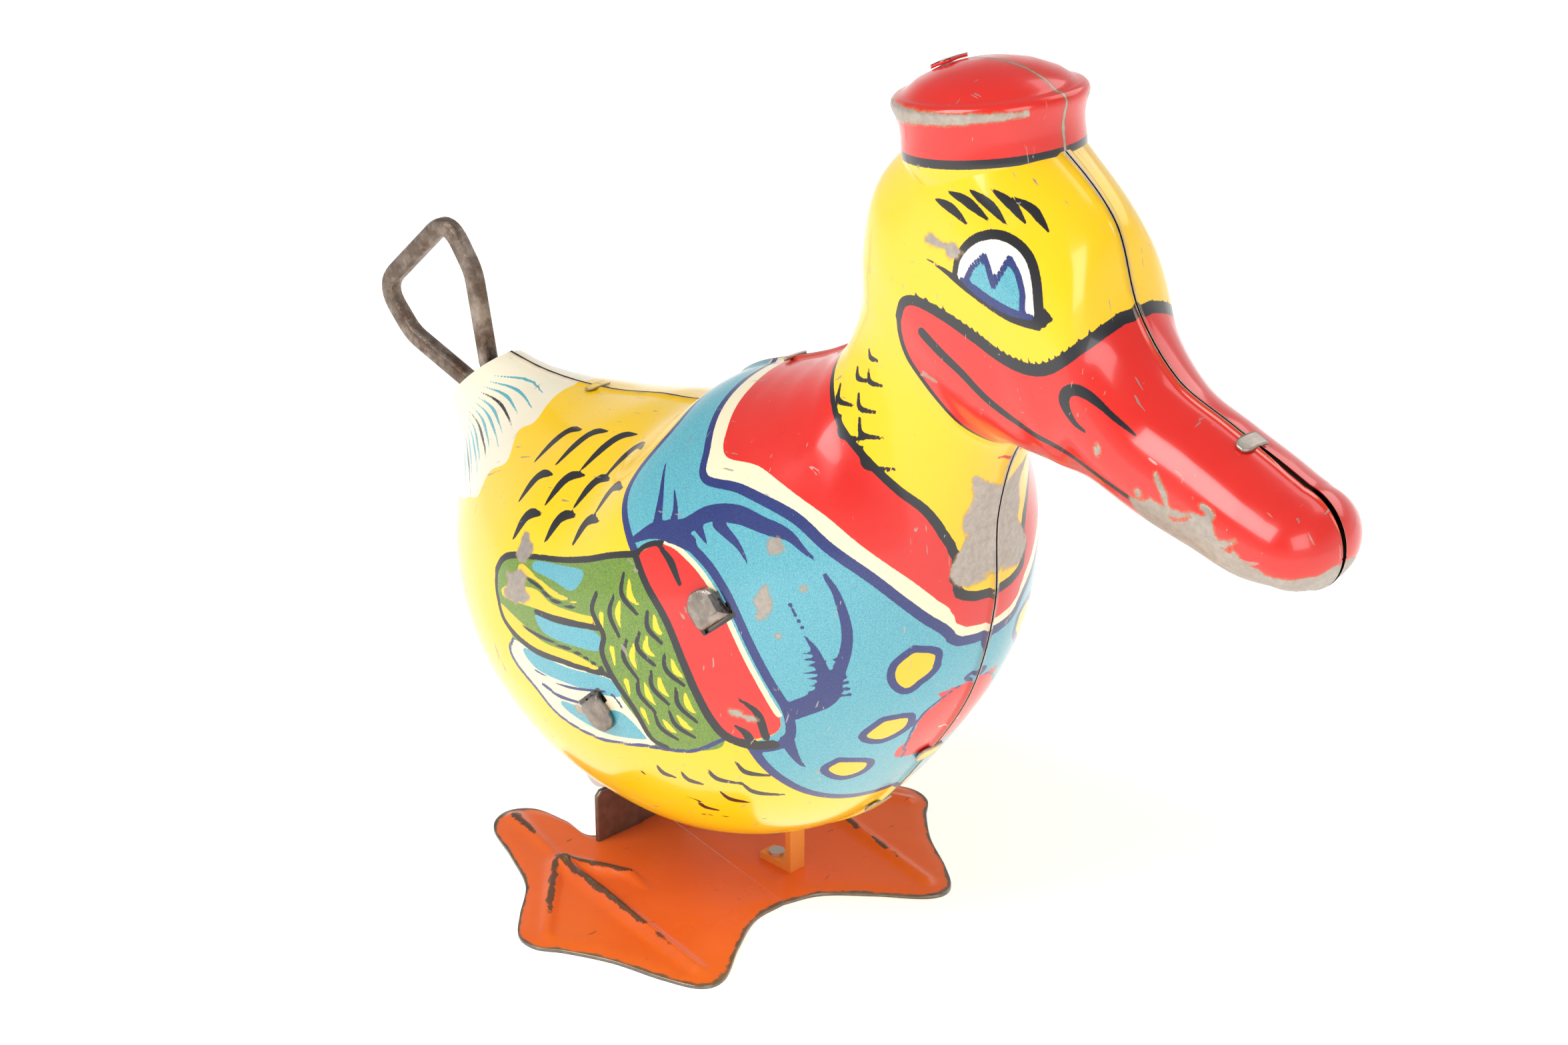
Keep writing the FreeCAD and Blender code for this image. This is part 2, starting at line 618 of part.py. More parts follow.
def return_spring():
    """Torsion spring around the hinge pin that pulls the feet flat again."""
    wire = 0.25
    coil = 1.4
    pitch = 0.62
    turns = 6
    helix = Part.makeHelix(pitch, pitch * turns, coil)
    profile = Part.Wire([Part.Circle(V(coil, 0, 0), V(0, 1, 0), wire).toShape()])
    spring = Part.Wire(helix.Edges).makePipeShell([profile], True, True)
    turn = FreeCAD.Rotation(V(1, 0, 0), -90)
    place = FreeCAD.Placement(V(size("hinge_x"), size("knuckle_left") + 0.5, size("hinge_z")), turn)
    solid("foot_return_spring", spring, place)


def check_and_export():
    doc.recompute()
    for item in doc.Objects:
        if "Invalid" in item.State or "Error" in item.State:
            raise RuntimeError(f"{item.Label} failed: {item.State}")
    os.makedirs("parts", exist_ok=True)
    for item in NODES:
        if item.Shape.isNull() or not item.Shape.isValid():
            raise RuntimeError(f"{item.Label} has no valid shape")
        item.Shape.exportStep(f"parts/{item.Label}.step")
        box = item.Shape.BoundBox
        print(f"{item.Label:22s} solids {len(item.Shape.Solids)} volume {item.Shape.Volume:9.2f} "
              f"x {box.XMin:6.1f} {box.XMax:6.1f} y {box.YMin:6.1f} {box.YMax:6.1f} "
              f"z {box.ZMin:6.1f} {box.ZMax:6.1f}")


shells()
rear_plate()
front_plate()
pillars()
bush("rear_arbor_bush", "rear_depth", size("rear_depth") + size("plate"))
bush("front_arbor_bush", "front_depth", size("front_depth") - size("bush_flange_height"))
hinge_bracket()
hinge_pin()
shafts()
train_wheels()
ratchet()
click()
mainspring()
crank()
winding_key()
feet_plate()
follower()
return_spring()
check_and_export()
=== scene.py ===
import json
import math

import bmesh
import bpy
import numpy as np
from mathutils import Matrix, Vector, kdtree


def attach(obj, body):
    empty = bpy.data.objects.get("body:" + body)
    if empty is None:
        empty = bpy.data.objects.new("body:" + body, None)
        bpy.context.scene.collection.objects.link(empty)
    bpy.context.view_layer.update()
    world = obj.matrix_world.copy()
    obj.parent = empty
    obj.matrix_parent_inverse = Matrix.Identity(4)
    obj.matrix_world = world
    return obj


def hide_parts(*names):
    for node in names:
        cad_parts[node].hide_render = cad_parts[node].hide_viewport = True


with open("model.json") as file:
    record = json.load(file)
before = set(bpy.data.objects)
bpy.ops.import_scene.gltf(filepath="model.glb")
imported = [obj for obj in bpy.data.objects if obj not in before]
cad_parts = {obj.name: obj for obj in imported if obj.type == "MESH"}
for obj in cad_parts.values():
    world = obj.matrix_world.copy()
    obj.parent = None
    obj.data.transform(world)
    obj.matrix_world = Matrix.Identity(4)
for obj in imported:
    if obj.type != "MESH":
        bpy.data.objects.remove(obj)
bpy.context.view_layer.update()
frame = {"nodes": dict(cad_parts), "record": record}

# Looks of the wind-up tin duck: lithographed shells, enamelled feet, worn steel key.
NODES = frame["nodes"]
MM = 0.001
SHEET = 0.35
RNG = np.random.default_rng(11)

# ---------------------------------------------------------------- shell form, millimetres
# Sections from the tail opening, round the body, neck and head, to the bill's tip:
# top (x, z), bottom (x, z), half-width and fullness, where 1 is a plain oval and less is squarer.
SECTIONS = (
    ((-44.6, 52.1), (-52.4, 44.2), 4.4, 1.0),
    ((-40.0, 51.6), (-50.0, 38.8), 6.0, 1.0),
    ((-35.0, 51.6), (-47.2, 32.4), 9.8, 1.0),
    ((-28.0, 52.3), (-42.0, 25.0), 15.2, 1.0),
    ((-20.0, 54.0), (-32.0, 16.6), 20.4, 1.0),
    ((-12.0, 55.8), (-18.0, 10.4), 22.8, 1.0),
    ((-6.0, 61.0), (-3.0, 9.5), 23.0, 1.0),
    ((-1.0, 63.3), (10.0, 15.5), 21.5, 1.0),
    ((3.0, 64.8), (19.0, 26.0), 19.0, 1.0),
    ((6.5, 66.4), (25.0, 36.0), 16.4, 1.0),
    ((9.6, 68.4), (27.5, 46.0), 13.4, 1.0),
    ((11.9, 71.6), (27.6, 56.0), 9.8, 0.9),
    ((13.0, 76.5), (29.8, 63.4), 8.2, 0.8),
    ((13.2, 82.0), (32.0, 64.6), 8.4, 0.72),
    ((14.9, 87.6), (34.0, 64.8), 9.0, 0.7),
    ((18.9, 92.0), (35.8, 64.6), 9.2, 0.7),
    ((25.5, 97.6), (37.4, 64.3), 9.2, 0.72),
    ((33.5, 93.2), (38.8, 64.0), 8.8, 0.78),
    ((40.2, 87.6), (40.6, 63.6), 8.0, 0.9),
    ((43.4, 79.9), (43.4, 63.0), 7.4, 1.0),
    ((48.0, 74.8), (47.8, 61.8), 7.0, 1.0),
    ((54.0, 72.3), (53.6, 60.6), 6.8, 1.0),
    ((60.0, 70.0), (59.6, 59.6), 6.6, 1.0),
    ((65.0, 67.6), (64.6, 60.8), 5.4, 1.0),
    ((67.4, 65.2), (67.2, 62.8), 2.4, 1.0),
)
ALONG, ROUND = 430, 200
CAP_CENTRE = np.array([25.8, 0.0, 91.9])
CAP_TILT = math.radians(8)
# cap profile: radius and height above its foot
CAP_PROFILE = ((7.9, -2.4), (8.3, -1.4), (8.5, -0.65), (8.5, -0.1), (8.48, 0.45), (8.42, 1.5), (8.5, 2.5),
               (8.75, 3.4), (9.0, 4.0), (9.08, 4.4), (8.98, 4.8), (8.7, 5.1), (8.3, 5.2), (7.9, 5.3), (7.5, 5.65),
               (6.6, 6.3), (4.6, 7.15), (2.4, 7.65), (0.02, 7.8))
CAP_COLUMNS = 90
CAP_DOME = 8
TIP_ROWS = 15
TIP_REACH = 4.6
LIP_HEIGHT, LIP_REACH = 0.34, 0.5


def knots():
    tops = np.array([s[0] for s in SECTIONS])
    lows = np.array([s[1] for s in SECTIONS])
    steps = np.sqrt((np.diff(tops, axis=0) ** 2).sum(1) + (np.diff(lows, axis=0) ** 2).sum(1))
    other = [np.array([s[k] for s in SECTIONS]) for k in (2, 3)]
    return tops, lows, *other, np.r_[0, np.cumsum(steps)]


TOPS, LOWS, WIDTHS, FULLNESS, KNOTS = knots()
LAST = KNOTS[-1]


def smooth_through(values, at):
    """Smooth curve through the values at the section knots."""
    gap = np.diff(KNOTS)
    slope = np.diff(values) / gap
    tangent = np.empty_like(values)
    tangent[1:-1] = (slope[:-1] * gap[1:] + slope[1:] * gap[:-1]) / (gap[1:] + gap[:-1])
    tangent[0], tangent[-1] = slope[0], slope[-1]
    i = np.clip(np.searchsorted(KNOTS, at, side="right") - 1, 0, len(KNOTS) - 2)
    s = (at - KNOTS[i]) / gap[i]
    return ((1 + 2 * s) * (1 - s) ** 2 * values[i] + s * (1 - s) ** 2 * gap[i] * tangent[i]
            + s * s * (3 - 2 * s) * values[i + 1] + s * s * (s - 1) * gap[i] * tangent[i + 1])


def shell_points(at, angle, lift=0.0):
    """Points of the right shell at arrays of knot place and angle from the top seam."""
    top = np.stack([smooth_through(TOPS[:, k], at) for k in (0, 1)], -1)
    low = np.stack([smooth_through(LOWS[:, k], at) for k in (0, 1)], -1)
    wide = smooth_through(WIDTHS, at) + lift
    middle, up = (top + low) / 2, (top - low) / 2
    tall = np.linalg.norm(up, axis=-1, keepdims=True)
    up = up * (tall + lift) / tall
    side = middle + up * np.cos(angle)[..., None]
    swell = np.abs(np.sin(angle)) ** np.clip(smooth_through(FULLNESS, at), 0.5, 1) * np.sign(np.sin(angle))
    return np.stack([side[..., 0], -wide * swell, side[..., 1]], -1)


def cap_place(x, y, z):
    """Cap coordinates, level and centred, to the shared frame."""
    return np.stack([x * math.cos(CAP_TILT) - z * math.sin(CAP_TILT), y,
                     x * math.sin(CAP_TILT) + z * math.cos(CAP_TILT)], -1) + CAP_CENTRE


def cap_points(inset=0.0):
    """Right half of the round cap, as rings of its profile."""
    turn = np.linspace(0, math.pi, CAP_COLUMNS)
    radius, height = np.array(CAP_PROFILE).T[..., None] - inset
    radius = np.maximum(radius, 0.01)
    height = height * np.ones(CAP_COLUMNS)
    return cap_place(-radius * np.cos(turn), -radius * np.sin(turn), height), height


def grid_faces(rows, columns):
    index = np.arange(rows * columns).reshape(rows, columns)
    quads = np.stack([index[:-1, :-1], index[1:, :-1], index[1:, 1:], index[:-1, 1:]], -1)
    return quads.reshape(-1, 4)


def ring_faces(rings, columns, base=0):
    """Faces of a closed ring swept round an axis."""
    faces = []
    for i in range(rings):
        here, there = base + i * columns, base + (i + 1) % rings * columns
        for k in range(columns):
            after = (k + 1) % columns
            faces.append((here + k, here + after, there + after, there + k))
    return faces


# ---------------------------------------------------------------- printed artwork and a painted reflection on the tail, side view (x, z)
def curve(points, closed=False, step=0.45):
    """Smooth line through points, in short steps; extra columns are carried along."""
    p = np.array(points, float)
    n = len(p)
    if n == 2 and not closed:
        count = max(2, int(np.linalg.norm(p[1, :2] - p[0, :2]) / step) + 1)
        return p[0] + (p[1] - p[0]) * np.linspace(0, 1, count)[:, None]
    around = np.vstack([p[-1:], p, p[:2]]) if closed else np.vstack([2 * p[0] - p[1], p, 2 * p[-1] - p[-2]])
    out = []
    for i in range(n if closed else n - 1):
        a, b, c, d = around[i:i + 4]
        count = max(2, int(np.linalg.norm(c[:2] - b[:2]) / step) + 1)
        t = np.linspace(0, 1, count, endpoint=False)[:, None]
        out.append(0.5 * (2 * b + (c - a) * t + (2 * a - 5 * b + 4 * c - d) * t ** 2
                          + (3 * b - a - 3 * c + d) * t ** 3))
    if not closed:
        out.append(p[-1:])
    return np.vstack(out)


class Print:
    """Signed distances, in mm, from each shell point to each ink's edge: negative is inked."""

    FAR = 1.0

    def __init__(self, points):
        self.points = points
        self.ink = {}
        self.tree = kdtree.KDTree(len(points))
        for i, (x, _, z) in enumerate(points):
            self.tree.insert((x, 0, z), i)
        self.tree.balance()
        grid = points.reshape(ALONG, ROUND, 3)
        self.steps = [np.gradient(grid, axis=k).reshape(-1, 3) for k in (0, 1)]

    def field(self, name):
        if name not in self.ink:
            self.ink[name] = np.full(len(self.points), self.FAR)
        return self.ink[name]

    def lift(self, line):
        """Side-view points carried onto the shell, and whether each lies on it."""
        found = [self.tree.find((x, 0, z)) for x, z in line[:, :2]]
        index = np.array([i for _, i, _ in found])
        on = np.array([d < 0.7 for _, _, d in found])
        a, b = self.steps[0][index], self.steps[1][index]
        gap = line[:, :2] - self.points[index][:, [0, 2]]
        # one step of the two grid directions at the nearest point
        area = a[:, 0] * b[:, 2] - a[:, 2] * b[:, 0]
        area = np.where(np.abs(area) < 1e-5, 1e9, area)
        s = np.clip((gap[:, 0] * b[:, 2] - gap[:, 1] * b[:, 0]) / area, -1, 1)
        t = np.clip((a[:, 0] * gap[:, 1] - a[:, 2] * gap[:, 0]) / area, -1, 1)
        return self.points[index] + s[:, None] * a + t[:, None] * b, on

    def distance(self, line, half):
        """Distance to a lifted line less its half-width there."""
        place, on = self.lift(line)
        result = np.full(len(self.points), self.FAR)
        margin = half.max() + self.FAR
        for k in range(len(line) - 1):
            if not (on[k] or on[k + 1]):
                continue
            a, b = place[k], place[k + 1]
            low, high = np.minimum(a, b) - margin, np.maximum(a, b) + margin
            near = np.where(np.all((self.points > low) & (self.points < high), axis=1))[0]
            if not len(near):
                continue
            along = b - a
            share = np.clip((self.points[near] - a) @ along / max(along @ along, 1e-9), 0, 1)
            gap = np.linalg.norm(self.points[near] - a - share[:, None] * along, axis=1)
            gap -= half[k] + (half[k + 1] - half[k]) * share
            result[near] = np.minimum(result[near], gap)
        return result

    def stroke(self, name, points, *widths):
        """Brush line whose width changes evenly through the widths given."""
        line = curve(points)
        travel = np.linspace(0, 1, len(line))
        half = np.interp(travel, np.linspace(0, 1, max(len(widths), 2)),
                         widths if len(widths) > 1 else widths * 2) / 2
        field = self.field(name)
        np.minimum(field, self.distance(line, half), out=field)

    def area(self, name, points, smooth=True, erase=False):
        """Filled shape; erase takes it out of the ink."""
        line = curve(points, closed=True) if smooth else np.array(points, float)
        ring = np.vstack([line, line[:1]])
        x, z = self.points[:, 0], self.points[:, 2]
        inside = np.zeros(len(x), bool)
        for (x0, z0), (x1, z1) in zip(ring[:-1], ring[1:]):
            if z0 != z1:
                crosses = ((z0 > z) != (z1 > z)) & (x < (x1 - x0) * (z - z0) / (z1 - z0) + x0)
                inside ^= crosses
        fine = curve(ring) if not smooth else ring
        gap = self.distance(fine, np.zeros(len(fine)))
        signed = np.where(inside, -np.abs(gap), np.abs(gap))
        field = self.field(name)
        if erase:
            np.maximum(field, -signed, out=field)
        else:
            np.minimum(field, signed, out=field)

    def spot(self, name, x, z, radius, tall=1.0):
        """Round mark, stretched upward by tall."""
        turn = np.linspace(0, 2 * math.pi, 14, endpoint=False)
        wobble = 1 + 0.18 * RNG.standard_normal(14) * (radius > 0.5)
        self.area(name, np.stack([x + radius * wobble * np.cos(turn),
                                  z + radius * tall * wobble * np.sin(turn)], 1))

    def dots(self, name, points, radius=0.14, pitch=0.7):
        for x, z in curve(points, step=pitch):
            self.stroke(name, [(x - 0.05, z), (x + 0.05, z)], 2 * radius)


# Outlines in the side view, (x, z) in mm.
COLLAR_TOP = [(9, 72), (11.5, 69), (14.7, 66.1), (16.8, 64.3), (20, 62), (23.2, 59.3), (25.3, 57),
              (26.7, 52.7), (27.4, 47.5), (31, 45)]
COLLAR_LOW = [(0, 66), (0.8, 62.6), (2.4, 60.4), (4.6, 58.6), (10, 59), (17, 57.1), (21, 54.6), (24.7, 51),
              (26.6, 47.3), (27.2, 43.8), (31, 42)]
CREAM_LOW = [(-3, 65), (-1.2, 61.3), (1.6, 58.4), (3.4, 56.4), (8.6, 56.8), (15, 56), (19, 53.7),
             (22.5, 51.1), (24.8, 48.1), (26.3, 44.8), (26.9, 42.3), (31, 41)]
JACKET_REAR = [(-8, 63), (-5.8, 59.4), (-5.5, 57.5), (-6.6, 53.8), (-6, 51.6), (-3.2, 49.2), (-1.8, 48.2)]
CUFF_FRONT = [(1.3, 50.2), (3.3, 50.1), (6.2, 49), (8.5, 47.3), (10.2, 45.2), (11.9, 42.1), (13.5, 38.4),
              (14.6, 34.9), (14, 32.7)]
CUFF_REAR = [(-1.8, 48.1), (0.5, 45.9), (3, 43.8), (4.6, 41.8), (6.2, 38.7), (7.4, 35.8), (8.4, 33.3),
             (9.5, 31.5)]
JACKET_LOW = [(11.5, 30.6), (12, 28), (12.7, 25.8), (13.5, 23.8), (14.6, 22.1), (16.2, 20.8), (18, 19)]
BILL_TOP = [(22.4, 76.4), (23.2, 78.1), (25, 78.7), (28.5, 78.2), (32, 77.1), (34.8, 76), (37.4, 75.5),
            (39.5, 75.8), (41.2, 77), (42.5, 78.6), (43.6, 80.6), (46, 84)]
BILL_BACK = [(22.4, 76.4), (22.5, 74.6), (23.3, 72.7), (25, 70.8), (26.8, 68.8), (28.4, 66.9), (30.4, 65),
             (31, 63)]
EYE = [(29.6, 82.4), (29.8, 84), (30.8, 85.6), (32, 86.5), (33.5, 86.9), (35.2, 86.5), (36.7, 85.4),
       (37.7, 83.7), (38.3, 81.8), (38.7, 80.3)]
EYE_LOW = [(29.6, 82.4), (31.3, 81.5), (33.4, 80.8), (36, 80.1), (38.7, 79.9)]
IRIS = [(30.9, 82.2), (31.5, 83.6), (32.6, 84.9), (33.2, 83.9), (33.9, 82.4), (34.5, 83.8), (35, 85.1),
        (36.1, 83.8), (36.8, 82.3), (37, 80.6), (35, 80.5), (32.8, 81.2)]
WING_TOP = [(-23.2, 39.3), (-22.6, 40.6), (-20.9, 41.6), (-17, 42.7), (-12.9, 43.8), (-8.6, 45.4), (-5, 47),
            (-1.8, 48.1)]
WING_LOW = [(9.5, 31.5), (8.6, 29.8), (5.6, 28.7), (3.2, 28.2), (0, 27.7), (-5.8, 26.5), (-11.5, 27.1),
            (-15, 29.2), (-18.2, 30.7), (-19.4, 32), (-18.6, 33.5), (-20.3, 34.8), (-22.4, 37.2)]
# covert feathers: start, bulge and end of each dark crescent
COVERTS = (((-3.3, 43.6), (-3.5, 41.7), (-1.9, 39.8)), ((-2.6, 46), (-2.3, 44), (0.1, 42.7)),
           ((-0.8, 39.9), (-1.2, 37.8), (0.5, 36)), ((0.7, 41.1), (0.5, 39.3), (2.7, 38)),
           ((1.3, 43.5), (1.6, 41.7), (3.5, 40.6)), ((3.8, 39.6), (4, 37.9), (6, 36.7)),
           ((0.6, 36), (0.7, 34.2), (2.4, 32.6)), ((2.3, 37.3), (2.3, 35.5), (4.1, 34)),
           ((2.3, 32.3), (2.7, 30.8), (4.4, 29.8)), ((4, 33.2), (4.6, 31.6), (6.4, 30.6)),
           ((5.1, 36.2), (5.2, 34.2), (6.9, 32.7)))
FEATHER_LINES = (
    ([(-19.3, 40.2), (-16, 40.4), (-12.5, 40), (-8, 40.6)], 0.35),
    ([(-15, 37.9), (-11.4, 38.4), (-5, 39.7)], 0.6),
    ([(-22.4, 37.2), (-20.2, 34.8), (-15.4, 33.8), (-9.3, 34.4), (-3, 35.1)], 0.55),
    ([(-17.5, 35.5), (-13.2, 35.7), (-7.8, 36.1), (-3.9, 35.6)], 0.35),
    ([(-5.8, 43), (-6, 41.2), (-4, 39.3), (-4.1, 37.4), (-2.7, 35.2), (-0.2, 32.2), (1.3, 29), (3, 28.4)], 0.6),
    ([(-23.2, 39.3), (-22.8, 38), (-22.4, 37.2)], 0.5),
)
NAVY_LINES = (
    ([(-18.6, 33.5), (-19.4, 32), (-18.2, 30.7), (-15, 29.2), (-11.5, 27.1), (-5.8, 26.5), (0, 27.7),
      (5.6, 28.7), (9.5, 31.3)], 0.5),
    ([(-14.7, 31.4), (-9.5, 31.6), (-3.3, 33), (-1.7, 31.7)], 0.35),
    ([(-13.6, 30.3), (-10.7, 29.9), (-6.4, 30.4)], 0.5),
)


def paint_face(art):
    art.area("red", BILL_TOP + [(80, 84), (80, 45), (33, 60)] + BILL_BACK[::-1][:-1])
    art.stroke("black", BILL_TOP, 0.9, 1.0, 1.1, 1.2, 1.2, 1.1, 1.2, 0.9)
    art.stroke("black", BILL_BACK, 0.7, 0.5, 0.3)
    edge = curve(BILL_TOP[2:-1], step=0.75)
    for (x, z), size in zip(edge, RNG.uniform(0.5, 1.0, len(edge))):
        art.stroke("black", [(x, z + 0.4), (x - 0.25, z + 0.55 + 0.55 * size)], 0.35, 0.05)
    art.stroke("black", [(25.7, 75.8), (28, 74.4), (30.4, 73), (33, 71), (36.3, 69.2), (40, 67.9), (44, 66.8),
                         (51, 65), (58, 63.2)], 1.1, 0.9, 0.75, 0.7, 0.6, 0.5)
    art.stroke("black", [(43.8, 70.9), (42.6, 71.5), (41.6, 73), (41.8, 74.2), (42.8, 74.5), (44.3, 73.8),
                         (46.2, 72.6), (48.5, 71.4)], 0.3, 0.7, 1.1, 1.1, 0.9, 0.6, 0.5, 0.2)
    art.area("cream", EYE + EYE_LOW[::-1][1:-1])
    art.area("wcyan", IRIS, smooth=False)
    for k in range(len(IRIS) - 3):
        art.stroke("navy", IRIS[k:k + 2], 0.6)
    art.stroke("navy", [(30.4, 82.2), (31.4, 81.8), (33.6, 81), (36, 80.4), (38, 80.3)], 0.5, 1.0, 0.9, 0.8, 0.6)
    art.stroke("black", EYE, 0.6, 0.9, 0.9, 0.95)
    art.stroke("black", [(25.7, 83.1), (27.6, 82.7), (29.4, 82.2), (31.3, 81.3), (33.4, 80.5), (36, 79.8),
                         (38.6, 79.7)], 0.15, 0.35, 0.7, 0.35, 0.4, 0.6, 0.9)
    art.spot("black", 38.9, 80.3, 0.85)
    for brow in ([(26.2, 88.6), (28.6, 88.2), (30.5, 87.2)], [(27.7, 89.6), (29.9, 89.2), (32.5, 87.9)],
                 [(29.9, 90.2), (32.1, 89.2), (34, 87.8)], [(31.8, 90.5), (33.7, 89.5), (35.6, 88)],
                 [(33.7, 90), (35.7, 89.1), (37.5, 87.5)]):
        art.stroke("black", brow, 0.2, 0.75, 0.95, 0.65, 0.15)
    for x, z, size in ((14.8, 67.6, 1.0), (17.6, 67.6, 1.0), (16.3, 65.2, 1.2), (18.4, 65.5, 1.1), (19.4, 63, 1.3),
                       (18.2, 69.9, 0.8), (16.6, 69.7, 0.7), (17.8, 71.8, 0.6)):
        art.stroke("black", [(x, z), (x + 0.6 * size, z - 1.3 * size), (x + 2.5 * size, z - 1.3 * size)],
                   0.25, 0.6, 0.3)


def paint_jacket(art):
    art.area("cyan", JACKET_REAR + CUFF_FRONT + JACKET_LOW + [(40, 30), (40, 45)] + COLLAR_TOP[::-1] + [(-6, 68)])
    art.area("jcream", CREAM_LOW + [(34, 44)] + COLLAR_TOP[::-1])
    art.area("jred", COLLAR_LOW + [(34, 44)] + COLLAR_TOP[::-1])
    art.stroke("black", COLLAR_TOP, 0.4, 0.7, 1.0, 1.1)
    art.stroke("navy", CREAM_LOW, 0.8, 0.9, 1.2, 1.1, 1.2)
    art.stroke("navy", JACKET_REAR, 0.6, 0.8, 0.9)
    art.stroke("navy", JACKET_LOW, 1.1, 0.9, 0.9)
    for points, widths in (
            ([(-2.9, 55.9), (-1.3, 53.7), (-0.2, 51.4)], (0.2, 0.6, 1.2)),
            ([(0.1, 54.6), (1.4, 53.1), (1.8, 51.6)], (0.15, 0.6, 1.2)),
            ([(1.2, 51.4), (3.3, 52.1), (5.7, 53.9), (9.1, 54.7), (12.3, 54.5), (15.1, 54.2), (16.9, 53.1),
              (18.2, 52.3)], (1.6, 1.7, 1.7, 1.9, 1.7, 1.5, 0.8, 0.2)),
            ([(7.1, 53.4), (10.1, 52.1), (11.7, 50.6)], (1.3, 0.8, 0.15)),
            ([(4.4, 52.8), (5.4, 52.2), (6.5, 51.4)], (1.3, 0.8, 0.2)),
            ([(-2.6, 49.2), (-0.4, 50.7), (2, 51.2), (4.6, 50.9)], (0.7, 1.7, 2.2, 1.6)),
            ([(19.1, 51), (20.2, 49.2), (21, 46.1), (20.9, 43.3), (19.9, 40), (18.9, 37.4), (15.8, 35.1)],
             (0.5, 0.9, 1.1, 1.2, 1.5, 1.8, 1.4)),
            ([(17.8, 44.6), (18.7, 42.6), (19, 39.2), (18, 37.2), (15.9, 35.9)], (0.3, 0.9, 1.5, 2.2, 1.7)),
            ([(14.6, 31.7), (14.6, 29.3), (14.8, 27.3)], (1.5, 0.9, 0.15)),
            ([(27, 42.5), (26.6, 40), (25.6, 37.6)], (0.9, 0.8, 0.6))):
        art.stroke("navy", points, *widths)
    for z in np.arange(38.4, 43.6, 0.75):
        art.stroke("navy", [(18.6, z), (17.3, z - 0.35)], 0.5, 0.08)
        art.stroke("navy", [(20.6, z - 0.4), (19.6, z - 0.8)], 0.45, 0.08)
    art.dots("navy", [(16.4, 47.6), (16.9, 46.6), (17.5, 45.4)], 0.22, 0.9)
    cuff = [(-1.6, 48.1), (-0.2, 49.2)] + CUFF_FRONT + [(11.5, 31.4)] + CUFF_REAR[::-1]
    art.area("cyan", cuff, erase=True)
    art.area("jred", cuff)
    art.stroke("edge", CUFF_FRONT[:-1], 0.55, 0.6, 0.65)
    outside = [(x + 0.75, z + 0.75) for x, z in CUFF_FRONT[:-1]] + [(15, 32.4), (13.6, 30.8), (11.6, 30.2)]
    art.stroke("navy", outside, 1.0, 1.0, 1.1)
    art.stroke("black", [(-1.9, 48.1), (-0.4, 49.4), (1.2, 50)], 0.6)
    art.stroke("black", CUFF_REAR + [(11.4, 30.7), (13.4, 31)], 0.8, 0.9, 1.0, 1.2)
    art.stroke("black", [(1, 49.6), (2.9, 48.7), (4.6, 47)], 0.4, 0.9, 0.5)
    art.stroke("black", [(11.3, 36.4), (12.8, 34.9), (13, 32)], 0.3, 0.9, 0.9)
    art.stroke("black", [(10.6, 33), (11.4, 32.2), (11.6, 31.2)], 0.3, 0.9, 1.0)
    for shape in ([(24.9, 43), (25.8, 42.2), (25.3, 39.9), (23.8, 37.8), (23.3, 39.2), (23.7, 41.3)],
                  [(21.6, 34.3), (22.9, 34.3), (22, 32.3), (20.3, 30.9), (19.7, 32)],
                  [(17.2, 28.7), (18.5, 27.9), (17.4, 26.1), (16.1, 25.6), (15.8, 27.3)]):
        art.area("button", shape)
        art.stroke("navy", shape + shape[:1], 0.85)
    art.area("jred", [(25.3, 36.9), (24.4, 35.5), (23.1, 33.6), (21.4, 30.6), (19.4, 27.2), (23, 26), (32, 31),
                      (32, 38)])
    art.stroke("navy", [(25.4, 37), (23.1, 33.7), (21.4, 30.7), (19.4, 27.2)], 0.35)
    art.stroke("black", [(25.2, 36), (24, 33.4), (22.6, 31)], 0.3, 0.8, 0.3)
    for x, z in ((20.9, 29), (21.5, 29.7), (22.2, 30.8), (23, 32)):
        art.stroke("edge", [(x, z), (x + 0.2, z - 0.9)], 0.3, 0.1)


